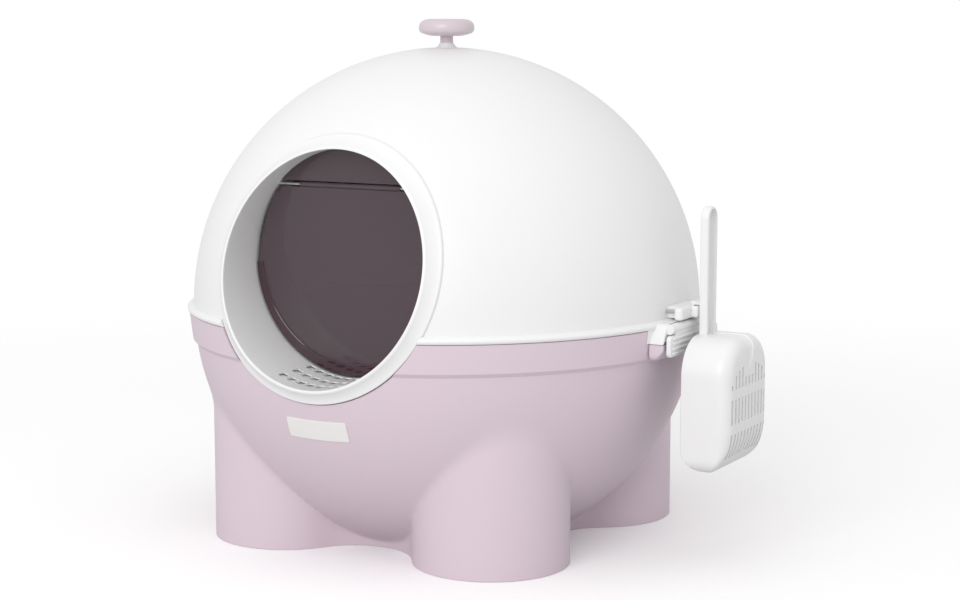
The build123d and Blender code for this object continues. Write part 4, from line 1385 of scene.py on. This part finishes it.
@dataclass
class Flap:
    """Smoked flap: a flat panel with drawn-in shoulders, and a thicker edge along its lower half whose darker, nearly
    opaque tint is painted shade of the gap behind the flap.
    """

    ball: Ball
    finishes: Finishes
    plane: float = -167.0
    thickness: float = 2.5
    gap: float = 2.0
    rise: float = 68.0
    swing: float = 45.0
    swing_gap: float = 0.9
    corner_half: float = 73.5
    corner_drop: float = 6.0
    top_drop: float = 2.25
    bead: float = 4.5
    bead_width: float = 6.0
    bead_rise: float = 4.0
    barrel: float = 2.4
    barrel_half: float = 52.0
    rod: float = 1.33

    def outline(self) -> np.ndarray:
        """Front view about the tunnel axis: at each height the narrower of the circle and of the swing ellipse.

        The flap's shoulders have to pass the round wall when it swings, so there the half width is that of an ellipse
        that is the bore stretched by 1 / cos(swing) about a point on the tunnel's axis.
        """
        radius, share = self.ball.bore - self.gap, math.cos(math.radians(self.swing))
        top, low_top = self.rise - self.top_drop, self.rise - self.corner_drop
        turn = np.linspace(0.0, math.pi - math.acos(low_top / radius), 140)
        z = -radius * np.cos(turn)
        middle = -self.rise * (1 - share) / share
        ellipse = (self.ball.bore - self.swing_gap) * np.sqrt(1 - ((z - middle) * share / self.ball.bore) ** 2)
        x = np.minimum(radius * np.sin(turn), ellipse)
        right = np.concatenate([np.c_[x, z], [(self.corner_half, low_top), (self.corner_half, top)]])
        return evenly(np.concatenate([right, (right * [-1, 1])[::-1][:-1]]), 320, closed=True)

    def edge(self) -> Piece:
        """Thicker edge: a closed section swept round the lower half, from the outer circle in to a raised circle; its
        darker tint is painted shade.
        """
        outer = self.ball.bore - self.gap
        inner = outer - self.bead_width
        turn = np.radians(np.linspace(-88.0, 88.0, 160))[:, None]
        reach = self.bead_rise * -np.cos(turn) + np.sqrt(inner**2 - (self.bead_rise * np.sin(turn)) ** 2)
        inside = np.minimum(reach, outer - 0.6)
        half, soft = self.bead / 2, 0.5
        level = np.array([-half + soft, -half, -half, -half + soft, half - soft, half, half, half - soft])
        share = np.array([0.0, 0.08, 0.92, 1.0, 1.0, 0.92, 0.08, 0.0])
        r = inside + (outer - inside) * share
        grid = xyz(r * np.sin(turn), self.plane + level, self.ball.tunnel - r * np.cos(turn))
        return solid("flap_edge_painted_shade", grid, caps=True)

    def build(self) -> None:
        """Makes the panel, its edge and its barrel, in place of the flap's node."""
        half, turn, hinge = self.thickness / 2, circle(32), self.ball.tunnel + self.rise
        grid = slab(self.outline(), -half, half, 0.35, 0.35, rings=6)
        panel = solid("flap_panel", xyz(grid[..., 0], self.plane - grid[..., 2], self.ball.tunnel + grid[..., 1]))
        for name, radius, end, how in (
            ("barrel", self.barrel, self.barrel_half, Join.ADD),
            ("bore", self.rod, 1.1 * self.barrel_half, Join.CUT),
        ):
            y, z = self.plane + radius * np.cos(turn), hinge + radius * np.sin(turn)
            combine(panel, how, prisms(name, np.stack([xyz(x, y, z) for x in (-end, end)])[None]))
        dress(panel, self.finishes.smoke, "flap", "flap", "flap")
        # the thick edge's darker, more opaque finish is painted shade
        dress(self.edge(), self.finishes.smoke_edge, "flap", "flap")


# ---- studio --------------------------------------------------------------------------------


@dataclass
class Studio:
    """Pale floor, soft light and the camera."""

    eye: tuple[float, float, float] = (0.956508, -1.628908, 0.479357)
    tilt: float = 7.968
    turn: float = 29.476
    lens: float = 75.03
    floor_half: float = 2.6
    light_size: float = 2.2
    aim: float = 0.2  # height that the lights look at
    sky: float = 0.78

    def camera(self) -> None:
        """Adds the camera."""
        data = bpy.data.cameras.new("camera")
        data.lens = self.lens
        data.sensor_width = 36.0
        data.clip_end = 100.0
        camera = bpy.data.objects.new("camera", data)
        camera.location = self.eye
        camera.rotation_euler = (math.radians(90 - self.tilt), 0.0, math.radians(self.turn))
        bpy.context.scene.collection.objects.link(camera)
        bpy.context.scene.camera = camera

    def seen_or_not(self, tree: Material | bpy.types.World, other: Socket, seen: Socket) -> Socket:
        """Shader that is one thing to the camera and another to the light that bounces."""
        camera_ray = add_node(tree, "ShaderNodeLightPath").outputs["Is Camera Ray"]
        return add_node(tree, "ShaderNodeMixShader", {0: camera_ray, 1: other, 2: seen}).outputs[0]

    def floor(self) -> None:
        """Adds a pale matt floor that fades into the backdrop from 0.5 to 1.6 m from the middle."""
        half = self.floor_half
        mesh = bpy.data.meshes.new("floor")
        mesh.from_pydata([(-half, -half, 0), (half, -half, 0), (half, half, 0), (-half, half, 0)], [], [(0, 1, 2, 3)])
        floor = bpy.data.objects.new("floor", mesh)
        paper = new_material("paper")
        place = add_node(paper, "ShaderNodeTexCoord").outputs["Object"]
        away = add_node(paper, "ShaderNodeVectorMath", {0: place}, operation="LENGTH").outputs["Value"]
        fade = add_node(paper, "ShaderNodeMapRange", {0: away, 1: 0.5, 2: 1.6}, interpolation_type="SMOOTHSTEP")
        pale = add_node(paper, "ShaderNodeBsdfDiffuse", {"Color": linear("#fcfcfc")})
        dim = add_node(paper, "ShaderNodeBsdfDiffuse", {"Color": linear("#d8d8d8")})
        glow = add_node(paper, "ShaderNodeEmission", {"Strength": 0.08})
        lit = add_node(paper, "ShaderNodeAddShader", {0: pale.outputs[0], 1: glow.outputs[0]})
        shader = self.seen_or_not(paper, dim.outputs[0], lit.outputs[0])
        clear = add_node(paper, "ShaderNodeBsdfTransparent").outputs[0]
        both = add_node(paper, "ShaderNodeMixShader", {0: fade.outputs[0], 1: shader, 2: clear})
        add_node(paper, "ShaderNodeOutputMaterial", {"Surface": both.outputs[0]})
        mesh.materials.append(paper)
        bpy.context.scene.collection.objects.link(floor)

    def light(self, name: str, azimuth: float, elevation: float, distance: float, power: float) -> None:
        """Adds a round soft light that faces the ball.

        Args:
            name: Name of the light.
            azimuth: Degrees from the front of the entry, positive towards +X.
            elevation: Degrees above the floor.
            distance: Metres from the ball.
            power: Watts.
        """
        data = bpy.data.lights.new(name, "AREA")
        data.shape = "DISK"
        data.size = self.light_size
        data.energy = power
        lamp = bpy.data.objects.new(name, data)
        side, up = math.radians(azimuth), math.radians(elevation)
        out = np.array([math.sin(side) * math.cos(up), -math.cos(side) * math.cos(up), math.sin(up)])
        lamp.location = out * distance + np.array([0.0, 0.0, self.aim])
        lamp.rotation_euler = (math.pi / 2 - up, 0.0, side)
        bpy.context.scene.collection.objects.link(lamp)

    def build(self) -> None:
        """Adds everything that isn't the object."""
        self.camera()
        self.floor()
        world = bpy.data.worlds.new("studio")
        bpy.context.scene.world = world
        world.use_nodes = True
        world.node_tree.nodes.clear()
        sky, backdrop = (
            add_node(world, "ShaderNodeBackground", {"Color": (1.0, 1.0, 1.0, 1.0), "Strength": strength}).outputs[0]
            for strength in (self.sky, 1.0)
        )
        add_node(world, "ShaderNodeOutputWorld", {"Surface": self.seen_or_not(world, sky, backdrop)})
        self.light("key", 8.0, 26.0, 3.2, 35.0)
        self.light("top", 10.0, 78.0, 2.8, 5.0)
        bpy.context.scene.view_settings.view_transform = "Standard"


def main() -> None:
    """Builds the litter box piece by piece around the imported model."""
    logging.basicConfig(level=logging.INFO, format="%(name)s: %(message)s")
    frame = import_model()
    finishes = Finishes.build()
    ball = Ball()
    Studio().build()
    kept = {"tunnel_sleeve": finishes.trim, "flap_top_panel": finishes.smoke, "knob": finishes.knob}
    steel = ("knob_washer", "knob_screw", "holder_screws", "flap_hinge_rod", "latch_pin_left", "latch_pin_right")
    for name, finish in {**kept, **dict.fromkeys(steel, finishes.steel)}.items():
        materials = frame["nodes"][name].data.materials
        materials.clear()
        materials.append(finish)
    Tub(ball, finishes).build()
    Label(ball, finishes).build()
    Hood(ball, finishes).build()
    Entry(ball, finishes).build()
    SleeveScrews(ball, finishes).build()
    Flap(ball, finishes).build()
    for side in Side:
        Lever(finishes).build(side)
    ScoopHolder(ball, finishes).build()
    Scoop(finishes).build()


if __name__ == "__main__":
    main()
